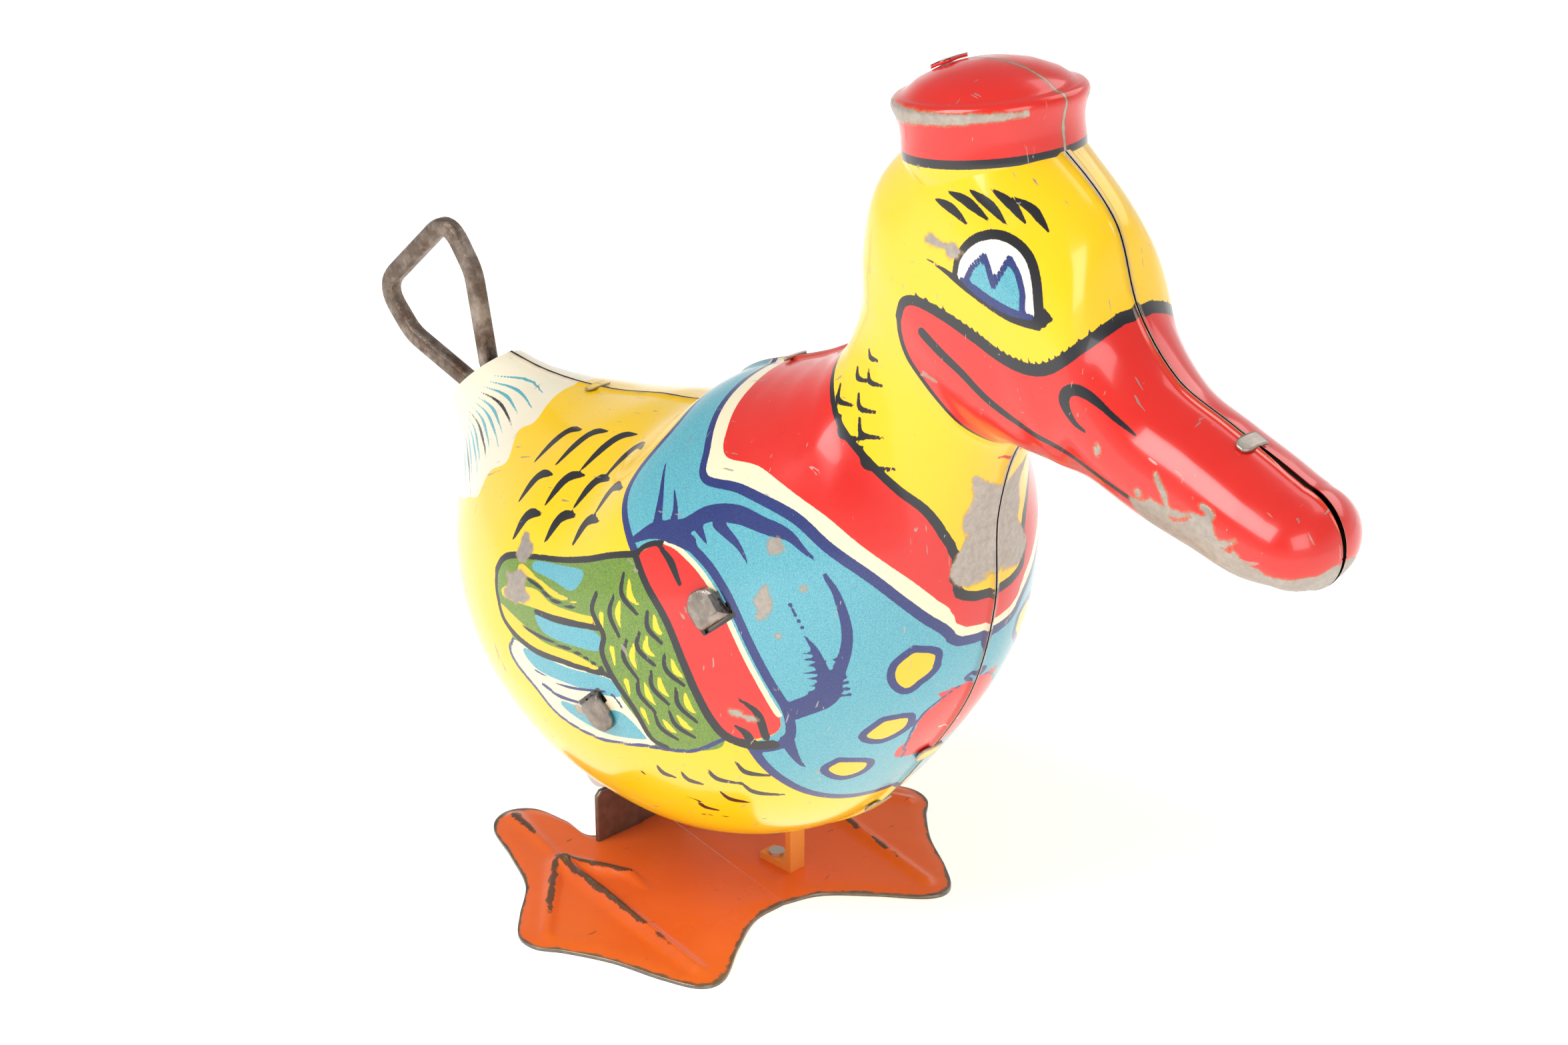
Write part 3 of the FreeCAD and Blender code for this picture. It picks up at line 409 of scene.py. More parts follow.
def paint_wing(art):
    art.area("green", WING_TOP + CUFF_REAR[1:] + WING_LOW)
    for shape in ([(-21, 38.4), (-16, 39.9), (-12.5, 39.6), (-8, 40.2), (-5.4, 40.6), (-5, 39.9), (-11.4, 38.7),
                   (-15, 38.2), (-21, 37.3)],
                  [(-21.6, 36.4), (-17.5, 35.9), (-13.2, 35.3), (-7.8, 35.8), (-4, 35.3), (-9, 34.7), (-15.4, 34),
                   (-20, 35)],
                  [(-19, 41.4), (-16, 41.1), (-12.4, 40.9), (-8, 41.2), (-12.5, 40.3), (-16, 40.7), (-19.3, 40.5)]):
        art.area("button", shape)
    for shape in ([(-17, 42.3), (-12.9, 43.3), (-8.6, 44.2), (-9.5, 42), (-13, 41.7), (-17, 41.5)],
                  [(-15, 37.6), (-11.4, 38), (-5.2, 39.2), (-4.3, 37.5), (-8, 36.7), (-13, 36.3)]):
        art.area("wcyan", shape)
    art.area("wcream", [(-18.4, 33.5), (-15.4, 33.6), (-9.3, 34.3), (-3, 35), (-1.7, 33), (0, 31), (1.6, 28.6),
                        (0, 27.8), (-5.8, 26.6), (-11.5, 27.2), (-15, 29.3), (-18.2, 30.8), (-19.2, 32)])
    art.area("wcyan", [(-16.6, 33.3), (-9.3, 33.9), (-3, 34.7), (-2, 33), (-9.5, 32), (-14.7, 31.8)])
    art.area("wcyan", [(-10.7, 29.4), (-6, 30), (-2, 31.2), (0.6, 29), (0, 28.5), (-5, 27.6), (-10, 28.4)])
    for start, bulge, end in COVERTS:
        art.stroke("black", [start, bulge, end], 0.4, 0.65, 0.45)
        art.stroke("fleck", [(start[0] + 0.9, start[1] - 0.3), (bulge[0] + 1.1, bulge[1] + 0.2),
                             (end[0] + 0.1, end[1] + 0.9)], 0.3, 0.85, 0.2)
    for z in (41.2, 38.2, 35.2, 32.4):
        x = -4.6 + (41.2 - z) * 0.62
        art.stroke("fleck", [(x, z), (x + 0.5, z - 1.8)], 0.7, 0.2)
    art.stroke("black", WING_TOP, 0.9, 0.6, 0.7, 0.7)
    for points, width in FEATHER_LINES:
        art.stroke("black", points, width, width * 1.3, width)
    for points, width in NAVY_LINES:
        art.stroke("navy", points, width)


def paint_body(art):
    for x, z in ((-25.4, 50.2), (-21.4, 51.2), (-17.2, 52), (-13, 52.6), (-23.6, 47.4), (-19, 48.6), (-14.6, 49.6),
                 (-10.4, 50.6), (-21.6, 44.6), (-16.4, 46), (-11.8, 47.2)):
        art.stroke("black", [(x + 2.6, z + 1.5), (x + 0.5, z + 0.7), (x - 0.2, z - 1.7)], 0.35, 1.3, 1.15, 0.35)
    for x, z, size in ((0.8, 25.3, 0.7), (3.4, 25.3, 0.8), (6.5, 26.6, 1), (9.6, 28.1, 1), (9.2, 25.2, 1.1),
                       (6.6, 23.2, 0.8), (3.1, 20.8, 0.7)):
        art.stroke("black", [(x, z), (x + 0.5 * size, z - 1.3 * size), (x + 2.4 * size, z - 1.6 * size)],
                   0.35, 0.8, 0.35)
    for line in ([(-1.6, 25.6), (-2, 24.4), (-1.2, 23)], [(1.5, 22.6), (2.2, 21.4), (4.4, 20.6)],
                 [(0.6, 17.2), (2.2, 18.2), (6, 18.6)], [(5.8, 18.2), (8.6, 18.8)]):
        art.dots("black", line)
    # painted reflection: this cream area on the tail end stands for the light's reflection there; the feather strokes
    # below are print
    art.area("painted_tail_reflection", [(-60, 58), (-32.6, 54), (-32.9, 51.6), (-31.4, 49.9), (-32.8, 48.7), (-30.8, 46.8),
                      (-33.2, 45), (-33.4, 42.6), (-36, 41.4), (-40, 39.5), (-48, 38.5), (-60, 40)])
    for k, spread in enumerate(np.linspace(0.0, 1.0, 13)):
        start = (-43.2 - 3.6 * spread, 50.6 - 7.2 * spread)
        end = (-34.6 - 2.2 * spread + 1.2 * (k % 2), 51 - 10.2 * spread)
        middle = ((start[0] + end[0]) / 2, (start[1] + end[1]) / 2 + 0.3)
        art.stroke("black" if k % 4 == 3 else "wcyan", [start, middle, end], 0.12, 0.4, 0.1)


def paint_wear(art):
    art.area("worn", [(27.9, 60.6), (27.4, 57.6), (26.9, 55.4), (27, 53.6), (26.7, 51), (27, 49.2), (27.5, 48.8),
                      (27.8, 50.6), (28, 55), (28.3, 58)])
    art.area("worn", [(48.4, 65.6), (50, 65.8), (51.2, 66.5), (53, 65.4), (54.4, 64.2), (57.4, 63.4), (60.6, 62.8),
                      (63.6, 62.7), (66, 62.8), (66.6, 61), (64, 59.4), (59.6, 59), (54.6, 60.6), (50, 62.6)])
    art.area("worn", [(52.3, 64.6), (54.6, 65.4), (56.2, 66.6), (57.8, 66), (58.6, 64.4), (60.8, 63.6), (63, 63),
                      (65.4, 62.8), (66.8, 63.2), (66.4, 61.2), (64, 60), (61, 59.8), (57, 60.9), (54.3, 62.9)])
    for line in ([(51, 66.4), (53.2, 65.8), (55.6, 66.4)], [(53.2, 65.8), (52.4, 67.4), (51.2, 68.8)],
                 [(56.2, 67.4), (57.4, 66.9), (56.6, 65.8)], [(57.6, 64.6), (58.8, 64.6), (60, 65.2)],
                 [(60, 64.2), (60.8, 63)], [(45.2, 70), (45, 69)], [(61.6, 62.6), (63.4, 62.4)]):
        art.stroke("worn", line, 0.3, 0.7, 0.35)
    for x, z, radius, tall in ((13.8, 47.1, 0.75, 2.0), (14, 53, 0.7, 1.1), (-19, 38.9, 2.0, 0.9),
                               (-19.4, 42.7, 1.1, 1.2), (26.3, 84.9, 0.7, 0.7), (29.2, 84.6, 0.8, 0.9),
                               (10.9, 34.6, 0.6, 0.7), (12, 34.2, 0.6, 0.6), (49.6, 66.6, 0.35, 1.2),
                               (15.4, 44.2, 0.3, 1), (17.4, 49.4, 0.3, 1), (-8, 29.4, 0.5, 1)):
        art.spot("worn", x, z, radius, tall)
    art.stroke("worn", [(26.3, 84.9), (27.8, 84.8), (29.4, 84.5)], 0.9, 0.4, 1.0)


# the first field, the cream on the tail, is a painted reflection of the light; the rest are inks and wear
INKS_AND_REFLECTION = ("painted_tail_reflection", "red", "cyan", "jcream", "jred", "cream", "green", "button", "wcyan", "wcream", "fleck",
        "edge", "navy", "black", "worn")


def printed_with_painted_reflection(points):
    art = Print(points)
    paint_body(art)
    paint_wing(art)
    paint_jacket(art)
    paint_face(art)
    paint_wear(art)
    return art.ink


# ---------------------------------------------------------------- openings in the shells
TAIL = np.array([-49.5, 0, 47.8])
SLOPE = math.radians(48)
DEPTH = np.array([math.cos(SLOPE), 0, -math.sin(SLOPE)])
RISE = np.array([math.sin(SLOPE), 0, math.cos(SLOPE)])
TAB_RISES = {"low": 21.4, "high": 41.4}
PLATE_DEPTH = 41.2
BELLY_HOLES = (((-29, -8.2), (-17.5, 8.2)), ((-7.5, 1.6), (-0.5, 7.6)))


def slot_distance(points):
    """Distance to the edge of the nearest tab slot, negative inside."""
    local_depth = (points - TAIL) @ DEPTH - PLATE_DEPTH - 0.4
    local_rise = (points - TAIL) @ RISE
    best = np.full(len(points), 9.0)
    for rise in TAB_RISES.values():
        edge = np.maximum(np.abs(local_depth) - 0.85, np.abs(local_rise - rise) - 2.15)
        best = np.minimum(best, edge)
    return np.where(np.abs(points[:, 1]) > 12, best, 9.0)


def open_belly(points, faces):
    """Takes out the faces in the belly slots and squares the slot edges."""
    out = points.copy()
    gone = np.zeros(len(faces), bool)
    for (x0, y0), (x1, y1) in BELLY_HOLES:
        x, y, z = out.T
        inside = (x > x0) & (x < x1) & (y > y0) & (y < y1) & (z < 17)
        gone |= inside[faces].all(axis=1)
        index = np.where(inside)[0]
        gaps = np.stack([x[index] - x0, x1 - x[index], y[index] - y0, y1 - y[index]], 1)
        side = gaps.argmin(1)
        for k, (axis, value) in enumerate(((0, x0), (0, x1), (1, y0), (1, y1))):
            out[index[side == k], axis] = value
    return out, faces[~gone]


# ---------------------------------------------------------------- meshes
def make_object(name, points, faces, material, smooth=True):
    mesh = bpy.data.meshes.new(name)
    mesh.from_pydata((np.asarray(points) * MM).tolist(), [], [list(map(int, f)) for f in faces])
    mesh.validate()
    mesh.polygons.foreach_set("use_smooth", [smooth] * len(mesh.polygons))
    item = bpy.data.objects.new(name, mesh)
    bpy.context.scene.collection.objects.link(item)
    item.data.materials.append(material)
    return item


def set_field(item, name, values):
    layer = item.data.attributes.new(name, "FLOAT", "POINT")
    layer.data.foreach_set("value", np.asarray(values, np.float32))


def bill_tip(rim):
    """Rows that close the bill's end with a small dome."""
    middle = (rim[0] + rim[-1]) / 2
    rows = []
    for step in range(1, TIP_ROWS + 1):
        turn = math.pi / 2 * step / TIP_ROWS
        row = middle + (rim - middle) * max(math.cos(turn), 0.02)
        row += np.array([1.0, 0, -0.14]) * TIP_REACH * math.sin(turn)
        rows.append(row)
    return np.array(rows)


def shell_skin():
    """Right shell: points, faces and ink distances; the left one mirrors it."""
    at = np.linspace(0, LAST, ALONG)[:, None] * np.ones(ROUND)
    # closer steps near the two seams
    share = np.linspace(0, 1, ROUND)
    angle = math.pi * (share - 0.045 * np.sin(2 * math.pi * share))[None, :] * np.ones((ALONG, 1))
    skin = shell_points(at, angle)
    reach = smooth_through(WIDTHS, at)
    seam = np.minimum(angle, math.pi - angle) * reach
    lip = np.exp(-(seam / LIP_REACH) ** 4)
    skin = skin + (shell_points(at, angle, LIP_HEIGHT) - skin) * lip[..., None]
    gap = 0.28 * np.clip((skin[..., 0] - 56.5) / 4, 0, 1) * (angle < 1.5)
    skin[..., 1] = np.minimum(skin[..., 1], -0.1 - gap)
    skin[-TIP_ROWS:] = bill_tip(skin[-TIP_ROWS - 1])
    flat = skin.reshape(-1, 3)
    inks = printed_with_painted_reflection(shell_points(at, angle).reshape(-1, 3))
    faces = grid_faces(ALONG, ROUND)
    slots = slot_distance(flat)
    faces = faces[~(slots[faces] < -0.1).all(axis=1)]
    flat, faces = open_belly(flat, faces)

    rows, columns = 90, 40
    at_in = np.linspace(0, LAST * (1 - TIP_ROWS / ALONG), rows)[:, None] * np.ones(columns)
    angle_in = np.linspace(0, math.pi, columns)[None, :] * np.ones((rows, 1))
    inner = shell_points(at_in, angle_in, -SHEET).reshape(-1, 3)
    inner[:, 1] = np.minimum(inner[:, 1], -0.03)
    inner_faces = grid_faces(rows, columns)[:, ::-1]
    inner, inner_faces = open_belly(inner, inner_faces)

    mouth = np.concatenate([skin[0], shell_points(at[0], angle[0], -SHEET)])
    cap, level = cap_points()
    cap_in, _ = cap_points(SHEET)
    cap_faces = grid_faces(len(CAP_PROFILE), CAP_COLUMNS)
    parts = [(flat, faces), (inner, inner_faces), (mouth, grid_faces(2, ROUND)[:, ::-1]),
             (cap.reshape(-1, 3), cap_faces[:, ::-1]), (cap_in.reshape(-1, 3), cap_faces)]
    points = np.concatenate([p for p, _ in parts])
    starts = np.cumsum([0] + [len(p) for p, _ in parts])
    all_faces = np.concatenate([f + s for (_, f), s in zip(parts, starts)])

    fields = {}
    for name in INKS_AND_REFLECTION:
        fields[name] = np.full(len(points), 1.0)
        fields[name][:len(flat)] = inks[name]
    fields["black"][:len(flat)] = np.minimum(fields["black"][:len(flat)], slots)
    # the cap: red above its foot, a black line along it, bare tin on the lip, narrowing to the front
    on_cap = slice(starts[3], starts[4])
    level = level.ravel()
    forward = np.tile(np.linspace(0, 1, CAP_COLUMNS), len(CAP_PROFILE))
    fields["red"][on_cap] = -0.1 - level
    fields["black"][on_cap] = np.abs(level + 0.1) - 0.42
    fields["worn"][on_cap] = np.where(forward < 0.86, np.abs(level - 4.1) - (1.15 - 1.1 * forward), 1.0)
    rim = np.full(len(points), 9.0)
    rim[:len(flat)] = np.minimum(seam.ravel(), 9)
    rim[starts[3]:] = np.minimum(np.abs(points[starts[3]:, 1]), 9)
    fields["rim"] = rim
    inside = np.ones(len(points))
    inside[:len(flat)] = 0
    inside[on_cap] = 0
    fields["inside"] = inside
    return points, all_faces, fields


# ---------------------------------------------------------------- materials
def linear(code):
    """Linear colour from a hex code."""
    values = [int(code[i:i + 2], 16) / 255 for i in (0, 2, 4)]
    return tuple(v / 12.92 if v <= 0.04045 else ((v + 0.055) / 1.055) ** 2.4 for v in values) + (1.0,)


class Shader:
    """Short calls for building one node material."""

    def __init__(self, name):
        self.material = bpy.data.materials.new(name)
        self.material.use_nodes = True
        self.tree = self.material.node_tree
        self.surface = self.tree.nodes["Principled BSDF"]
        self.place = self.add("ShaderNodeTexCoord").outputs["Object"]

    def add(self, kind, **settings):
        made = self.tree.nodes.new(kind)
        for key, value in settings.items():
            setattr(made, key, value)
        return made

    def put(self, socket, value):
        if isinstance(value, bpy.types.NodeSocket):
            self.tree.links.new(value, socket)
        else:
            socket.default_value = value

    def noise(self, scale, detail=4.0, rough=0.55, stretch=None):
        place = self.place
        if stretch:
            mapping = self.add("ShaderNodeMapping")
            self.put(mapping.inputs["Vector"], place)
            mapping.inputs["Scale"].default_value = stretch
            mapping.inputs["Rotation"].default_value = (0.4, 0.9, 0.3)
            place = mapping.outputs["Vector"]
        made = self.add("ShaderNodeTexNoise")
        self.put(made.inputs["Vector"], place)
        made.inputs["Scale"].default_value = scale
        made.inputs["Detail"].default_value = detail
        made.inputs["Roughness"].default_value = rough
        return made.outputs["Fac"]

    def math(self, operation, a, b=0.0, clamp=False):
        made = self.add("ShaderNodeMath", operation=operation, use_clamp=clamp)
        self.put(made.inputs[0], a)
        self.put(made.inputs[1], b)
        return made.outputs[0]

    def ramp(self, value, low, high, start=0.0, end=1.0):
        made = self.add("ShaderNodeMapRange", interpolation_type="SMOOTHSTEP")
        self.put(made.inputs["Value"], value)
        for key, number in (("From Min", low), ("From Max", high), ("To Min", start), ("To Max", end)):
            made.inputs[key].default_value = number
        return made.outputs["Result"]

    def mix(self, share, a, b):
        made = self.add("ShaderNodeMix", data_type="RGBA")
        self.put(made.inputs[0], share)
        self.put(made.inputs[6], a)
        self.put(made.inputs[7], b)
        return made.outputs[2]

    def field(self, name):
        return self.add("ShaderNodeAttribute", attribute_name=name).outputs["Fac"]

    def unevenness(self, amount, *noise):
        """Noise about zero, to roughen a distance field."""
        return self.math("MULTIPLY", self.math("SUBTRACT", self.noise(*noise), 0.5), amount)

    def largest(self, a, b, clamp=False):
        return self.math("MAXIMUM", a, b, clamp)

    def bump(self, height, strength, distance):
        made = self.add("ShaderNodeBump")
        made.inputs["Strength"].default_value = strength
        made.inputs["Distance"].default_value = distance
        self.put(made.inputs["Height"], height)
        self.put(self.surface.inputs["Normal"], made.outputs["Normal"])

    def set(self, **values):
        for key, value in values.items():
            self.put(self.surface.inputs[key.replace("_", " ")], value)


# Inks in printing order, each with one tone, or two that a fine or a broad noise mixes; the first, the cream on the
# tail, is a painted reflection of the light.
INK_AND_REFLECTION_COLOURS = (("painted_tail_reflection", "F4EBD2"), ("red", "D81B18", "E63126"), ("cyan", "4E9FB6", "6CBAC4"), ("jcream", "F5E9C6"),
               ("jred", "D81B18", "E63126"), ("cream", "F8F2DE"), ("green", "567C26", "7E9E32"),
               ("wcream", "F3E7C6"), ("wcyan", "4E9FB6", "6CBAC4"), ("button", "FACB1C"), ("fleck", "FCD422"),
               ("edge", "F6E8C0"), ("navy", "1E2B68", "2C3C7E"), ("black", "1B1A20"))


def litho_tin():
    """Printed and varnished tinplate with worn spots, scratches and bare edges, and a painted reflection of the light
    on the tail.
    """
    s = Shader("litho_tin")
    ragged = s.unevenness(0.09, 3800, 2)
    fine = s.ramp(s.noise(9000, 2, 0.7), 0.4, 0.6)
    broad = s.noise(120, 3)
    colour = s.mix(s.noise(45, 3), linear("FCC808"), linear("FFD61A"))
    for name, *tones in INK_AND_REFLECTION_COLOURS:
        share = s.ramp(s.math("ADD", s.field(name), ragged), -0.035, 0.035, 1.0, 0.0)
        ink = linear(tones[0])
        if len(tones) > 1:
            ink = s.mix(broad if name in ("red", "jred") else fine, ink, linear(tones[1]))
        colour = s.mix(share, colour, ink)
    patch = s.math("ADD", s.field("worn"), s.unevenness(1.1, 900, 6, 0.7))
    rubbed = s.ramp(patch, -0.08, 0.06, 1.0, 0.0)
    halo = s.ramp(patch, 0.0, 0.3, 0.55, 0.0)
    lengthwise = s.ramp(s.noise(260, 3, 0.5, (1.0, 9.0, 0.8)), 0.695, 0.715)
    crosswise = s.ramp(s.noise(420, 2, 0.5, (7.0, 1.0, 1.4)), 0.735, 0.755)
    fleck = s.ramp(s.noise(520, 5, 0.65), 0.705, 0.725)
    chips = s.largest(s.largest(lengthwise, crosswise), fleck)
    edge = s.math("ADD", s.field("rim"), s.unevenness(0.4, 700, 4))
    bare_edge = s.ramp(edge, 0.1, 0.18, 1.0, 0.0)
    bare = s.largest(s.largest(rubbed, bare_edge), s.math("MULTIPLY", chips, 0.75), clamp=True)
    colour = s.mix(halo, colour, linear("A98A5A"))
    colour = s.mix(s.ramp(edge, 0.15, 0.9, 0.32, 0.0), colour, linear("8A5A20"))
    colour = s.mix(bare, colour, s.mix(s.noise(1500, 5, 0.7), linear("8E8178"), linear("CFC7BC")))
    inside = s.field("inside")
    colour = s.mix(inside, colour, s.mix(s.noise(300, 4), linear("5E584F"), linear("8B8478")))
    metal = s.largest(s.math("MULTIPLY", bare, 0.75), s.math("MULTIPLY", inside, 0.8))
    rough = s.math("ADD", s.ramp(s.noise(90, 5, 0.6), 0.3, 0.75, 0.16, 0.3), s.math("MULTIPLY", metal, 0.25))
    s.set(Base_Color=colour, Metallic=metal, Roughness=rough, Specular_IOR_Level=0.55)
    s.set(Coat_Weight=s.math("SUBTRACT", 0.45, s.math("MULTIPLY", bare, 0.45), clamp=True), Coat_Roughness=0.06)
    s.bump(s.math("ADD", s.noise(60, 2), s.math("MULTIPLY", bare, -0.03)), 0.25, 0.0016)
    return s.material


def feet_enamel():
    """Orange enamel, rubbed brown and bare along ridges and edges."""
    s = Shader("feet_paint")
    colour = s.mix(s.noise(70, 4), linear("DB5A1C"), linear("E8702E"))
    wear = s.math("ADD", s.field("ridge"), s.unevenness(1.5, 330, 6, 0.68))
    brown = s.ramp(wear, 0.64, 0.76)
    edge = s.ramp(s.math("ADD", s.field("rim"), s.unevenness(0.8, 600, 4)), 0.12, 0.3, 1.0, 0.0)
    metal = s.largest(s.ramp(wear, 0.94, 1.02), edge)
    scratch = s.ramp(s.noise(300, 3, 0.5, (6.0, 1.0, 1.0)), 0.70, 0.73)
    dirt = s.ramp(s.noise(200, 6, 0.7), 0.55, 0.8, 0.0, 0.35)
    colour = s.mix(dirt, colour, linear("B4572A"))
    colour = s.mix(s.largest(brown, s.math("MULTIPLY", scratch, 0.6)), colour, linear("5E4030"))
    colour = s.mix(metal, colour, s.mix(s.noise(900, 4), linear("5F574F"), linear("9A9087")))
    s.set(Base_Color=colour, Metallic=s.math("MULTIPLY", metal, 0.75),
          Roughness=s.ramp(s.noise(160, 5), 0.3, 0.7, 0.26, 0.42), Specular_IOR_Level=0.5)
    s.bump(s.math("ADD", s.noise(110, 3), s.math("MULTIPLY", brown, -0.15)), 0.3, 0.0008)
    return s.material


def metal_finish(name, dark, light, rough=(0.28, 0.5), rust=None, grain=260.0):
    """Worn metal: two tones, a rust tone in patches and fine brushing."""
    s = Shader(name)
    colour = s.mix(s.ramp(s.noise(grain, 6, 0.65), 0.35, 0.7), linear(dark), linear(light))
    if rust:
        colour = s.mix(s.ramp(s.noise(grain * 0.7, 6, 0.7), 0.5, 0.68, 0.0, 0.8), colour, linear(rust))
    lines = s.noise(grain * 3, 3, 0.6, (1.0, 7.0, 1.0))
    s.set(Base_Color=colour, Metallic=1.0, Roughness=s.ramp(lines, 0.3, 0.7, *rough))
    s.bump(s.math("ADD", lines, s.noise(grain * 2, 5, 0.7)), 0.45, 0.00025)
    return s.material


# ---------------------------------------------------------------- key
def outline_path(points, rounds=(), step=0.6):
    """Polyline with its inner corners rounded by the radii given."""
    out = [np.array(points[0], float)]
    for i in range(1, len(points) - 1):
        before, corner, after = (np.array(points[k], float) for k in (i - 1, i, i + 1))
        radius = rounds[i - 1]
        one = (before - corner) / np.linalg.norm(before - corner)
        two = (after - corner) / np.linalg.norm(after - corner)
        half = math.acos(np.clip(one @ two, -1, 1)) / 2
        cut = min(radius / math.tan(half), 0.48 * np.linalg.norm(before - corner),
                  0.48 * np.linalg.norm(after - corner))
        start, end = corner + one * cut, corner + two * cut
        for t in np.linspace(0, 1, max(4, int(cut * 2 / step))):
            out.append((1 - t) ** 2 * start + 2 * t * (1 - t) * corner + t * t * end)
    out.append(np.array(points[-1], float))
    dense = [out[0]]
    for a, b in zip(out[:-1], out[1:]):
        for t in np.linspace(0, 1, max(2, int(np.linalg.norm(b - a) / step) + 1))[1:]:
            dense.append(a + (b - a) * t)
    return np.array(dense)


def rounded_section(width, height, corner, sides=5):
    """Closed outline of a bar with rounded edges."""
    out = []
    for sx, sy, start in ((1, 1, 0), (-1, 1, 90), (-1, -1, 180), (1, -1, 270)):
        for k in range(sides):
            angle = math.radians(start + 90 * k / (sides - 1))
            out.append((sx * (width / 2 - corner) + corner * math.cos(angle),
                        sy * (height / 2 - corner) + corner * math.sin(angle)))
    return np.array(out)


def train_point(local):
    """Clockwork coordinates (against the rise, side, depth) to the shared frame."""
    local = np.asarray(local, float)
    return (TAIL - RISE * local[..., 0:1] + np.array([0, 1.0, 0]) * local[..., 1:2] + DEPTH * local[..., 2:3])


def swept_bar(path, section):
    """Bar along a path in the local XZ plane; section x lies across the path, y along local Y."""
    tangent = np.gradient(path, axis=0)
    tangent /= np.linalg.norm(tangent, axis=1, keepdims=True)
    across = np.stack([tangent[:, 1], -tangent[:, 0]], 1)
    rings = np.empty((len(path), len(section), 3))
    rings[..., 0] = path[:, None, 0] + across[:, None, 0] * section[None, :, 0]
    rings[..., 1] = section[None, :, 1]
    rings[..., 2] = path[:, None, 1] + across[:, None, 1] * section[None, :, 0]
    count = len(section)
    faces = ring_faces(len(path), count)[:-count]
    faces.append(tuple(range(count))[::-1])
    faces.append(tuple((len(path) - 1) * count + k for k in range(count)))
    return rings.reshape(-1, 3), faces


def winding_key(material):
    bar, reach, half = 2.1, 17.5, 9.3
    middle = ((2.9 - bar / 2, 8.6), (3.0 - bar / 2, 0.0), (half - 0.5 - bar / 2, -9.7),
              (half - bar / 2, -reach + bar / 2))
    corners = middle + tuple((-x, z) for x, z in reversed(middle))
    path = outline_path(corners, (3.4, 5.5, 4.2, 4.2, 5.5, 3.4))
    points, faces = swept_bar(path, rounded_section(bar, 1.75, 0.55))
    turn = np.linspace(0, 2 * math.pi, 48, endpoint=False)
    profile = ((1.25, 4.5), (2.3, 4.5), (2.6, 4.8), (2.6, 8.7), (2.3, 9.0), (1.25, 9.0))
    collar = np.array([[(r * math.cos(t), r * math.sin(t), z) for t in turn] for r, z in profile])
    faces += ring_faces(len(profile), len(turn), len(points))
    points = np.concatenate([points, collar.reshape(-1, 3)])
    key = make_object("key_skin", train_point(points), faces, material)
    fix_normals(key)
    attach(key, "key")
    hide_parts("winding_key")


def tongue(name, top, under, shape, material):
    """Thin piece from an upper and a lower grid of points, closed round its edge."""
    rows, columns = shape
    count = rows * columns
    grid = grid_faces(rows, columns)
    index = np.arange(count).reshape(rows, columns)
    ring = np.concatenate([index[0, :], index[1:, -1], index[-1, -2::-1], index[-2:0:-1, 0]])
    after = np.roll(ring, -1)
    walls = np.stack([ring, after, after + count, ring + count], 1)
    item = make_object(name, np.concatenate([top, under]), np.concatenate([grid, grid[:, ::-1] + count, walls]),
                       material)
    fix_normals(item)
    return item


def fix_normals(item):
    form = bmesh.new()
    form.from_mesh(item.data)
    bmesh.ops.recalc_face_normals(form, faces=form.faces)
    form.to_mesh(item.data)
    form.free()


# ---------------------------------------------------------------- feet
# outline of one foot (x, y), and its ribs: start, end and height
FOOT = ((-24.2, 8.8), (-29.0, 9.8), (-33.4, 11.2), (-34.8, 14.2), (-32.6, 17.2), (-26.3, 18.8), (-19.8, 20.8),
        (-14.8, 24.6), (-11.4, 26.8), (-8.4, 26.6), (-5.8, 24.4), (-1.2, 21.4), (4.4, 19.0), (8.2, 16.6),
        (8.2, 13.6), (4.2, 9.0), (0.8, 4.4), (-0.1, 0.0))
RIBS = (((-21.3, 15.6), (5.8, 15.2), 0.95), ((-20.3, 16.6), (-9.4, 24.6), 0.75),
        ((-20.3, 14.6), (-9.8, 7.4), 0.8), ((-33.0, 14.2), (-23.0, 15.0), 0.5))
FOOT_RINGS = 44
FEET_YAW = math.radians(-9)
YAW_X = -7.0


def segment_gap(points, start, end):
    a, b = np.array(start, float), np.array(end, float)
    share = np.clip((points - a) @ (b - a) / ((b - a) @ (b - a)), 0, 1)
    return np.linalg.norm(points - a - share[:, None] * (b - a), axis=1), share


def foot_half(side):
    """One webbed foot as rings round its middle: top height, ridge and rim fields."""
    line = curve([(-24.2, 0.0)] + list(FOOT), step=0.5)
    line = np.vstack([[(-24.2, 0.02)], line[line[:, 1] > 0.02], [(-0.1, 0.0)]])
    middle = np.array([-12.5, 12.5])
    share = 1 - (1 - np.linspace(0, 1, FOOT_RINGS)) ** 1.25
    plane = middle + (line - middle)[None] * share[:, None, None]
    flat = plane.reshape(-1, 2)
    height = np.full(len(flat), 0.6)
    ridge = np.zeros(len(flat))
    for start, end, tall in RIBS:
        gap, along = segment_gap(flat, start, end)
        taper = np.clip(1.25 - 0.75 * along, 0, 1)
        crest = np.exp(-(gap / (0.95 - 0.25 * along)) ** 2) * taper
        height += tall * crest
        ridge = np.maximum(ridge, crest)
    border = (1 - np.repeat(share, len(line))) * 9
    near_middle = np.abs(flat[:, 1]) < 3
    rim = np.where(near_middle & (flat[:, 0] < -3), 9, border)
    height -= 0.22 * np.exp(-(rim / 0.7) ** 2)
    height += 0.25 * np.exp(-((flat[:, 0] + 12) ** 2 / 60 + (flat[:, 1] - 17) ** 2 / 20))
    points = np.stack([flat[:, 0], side * flat[:, 1], height], 1)
    index = np.arange(len(flat)).reshape(FOOT_RINGS, len(line))
    # the outline starts and ends on the middle plane: the wedge closes it there
    wedge = np.stack([index[:-1, -1], index[1:, -1], index[1:, 0], index[:-1, 0]], -1)
    faces = np.concatenate([grid_faces(FOOT_RINGS, len(line)), wedge])
    return points, faces[:, ::-side], ridge, rim


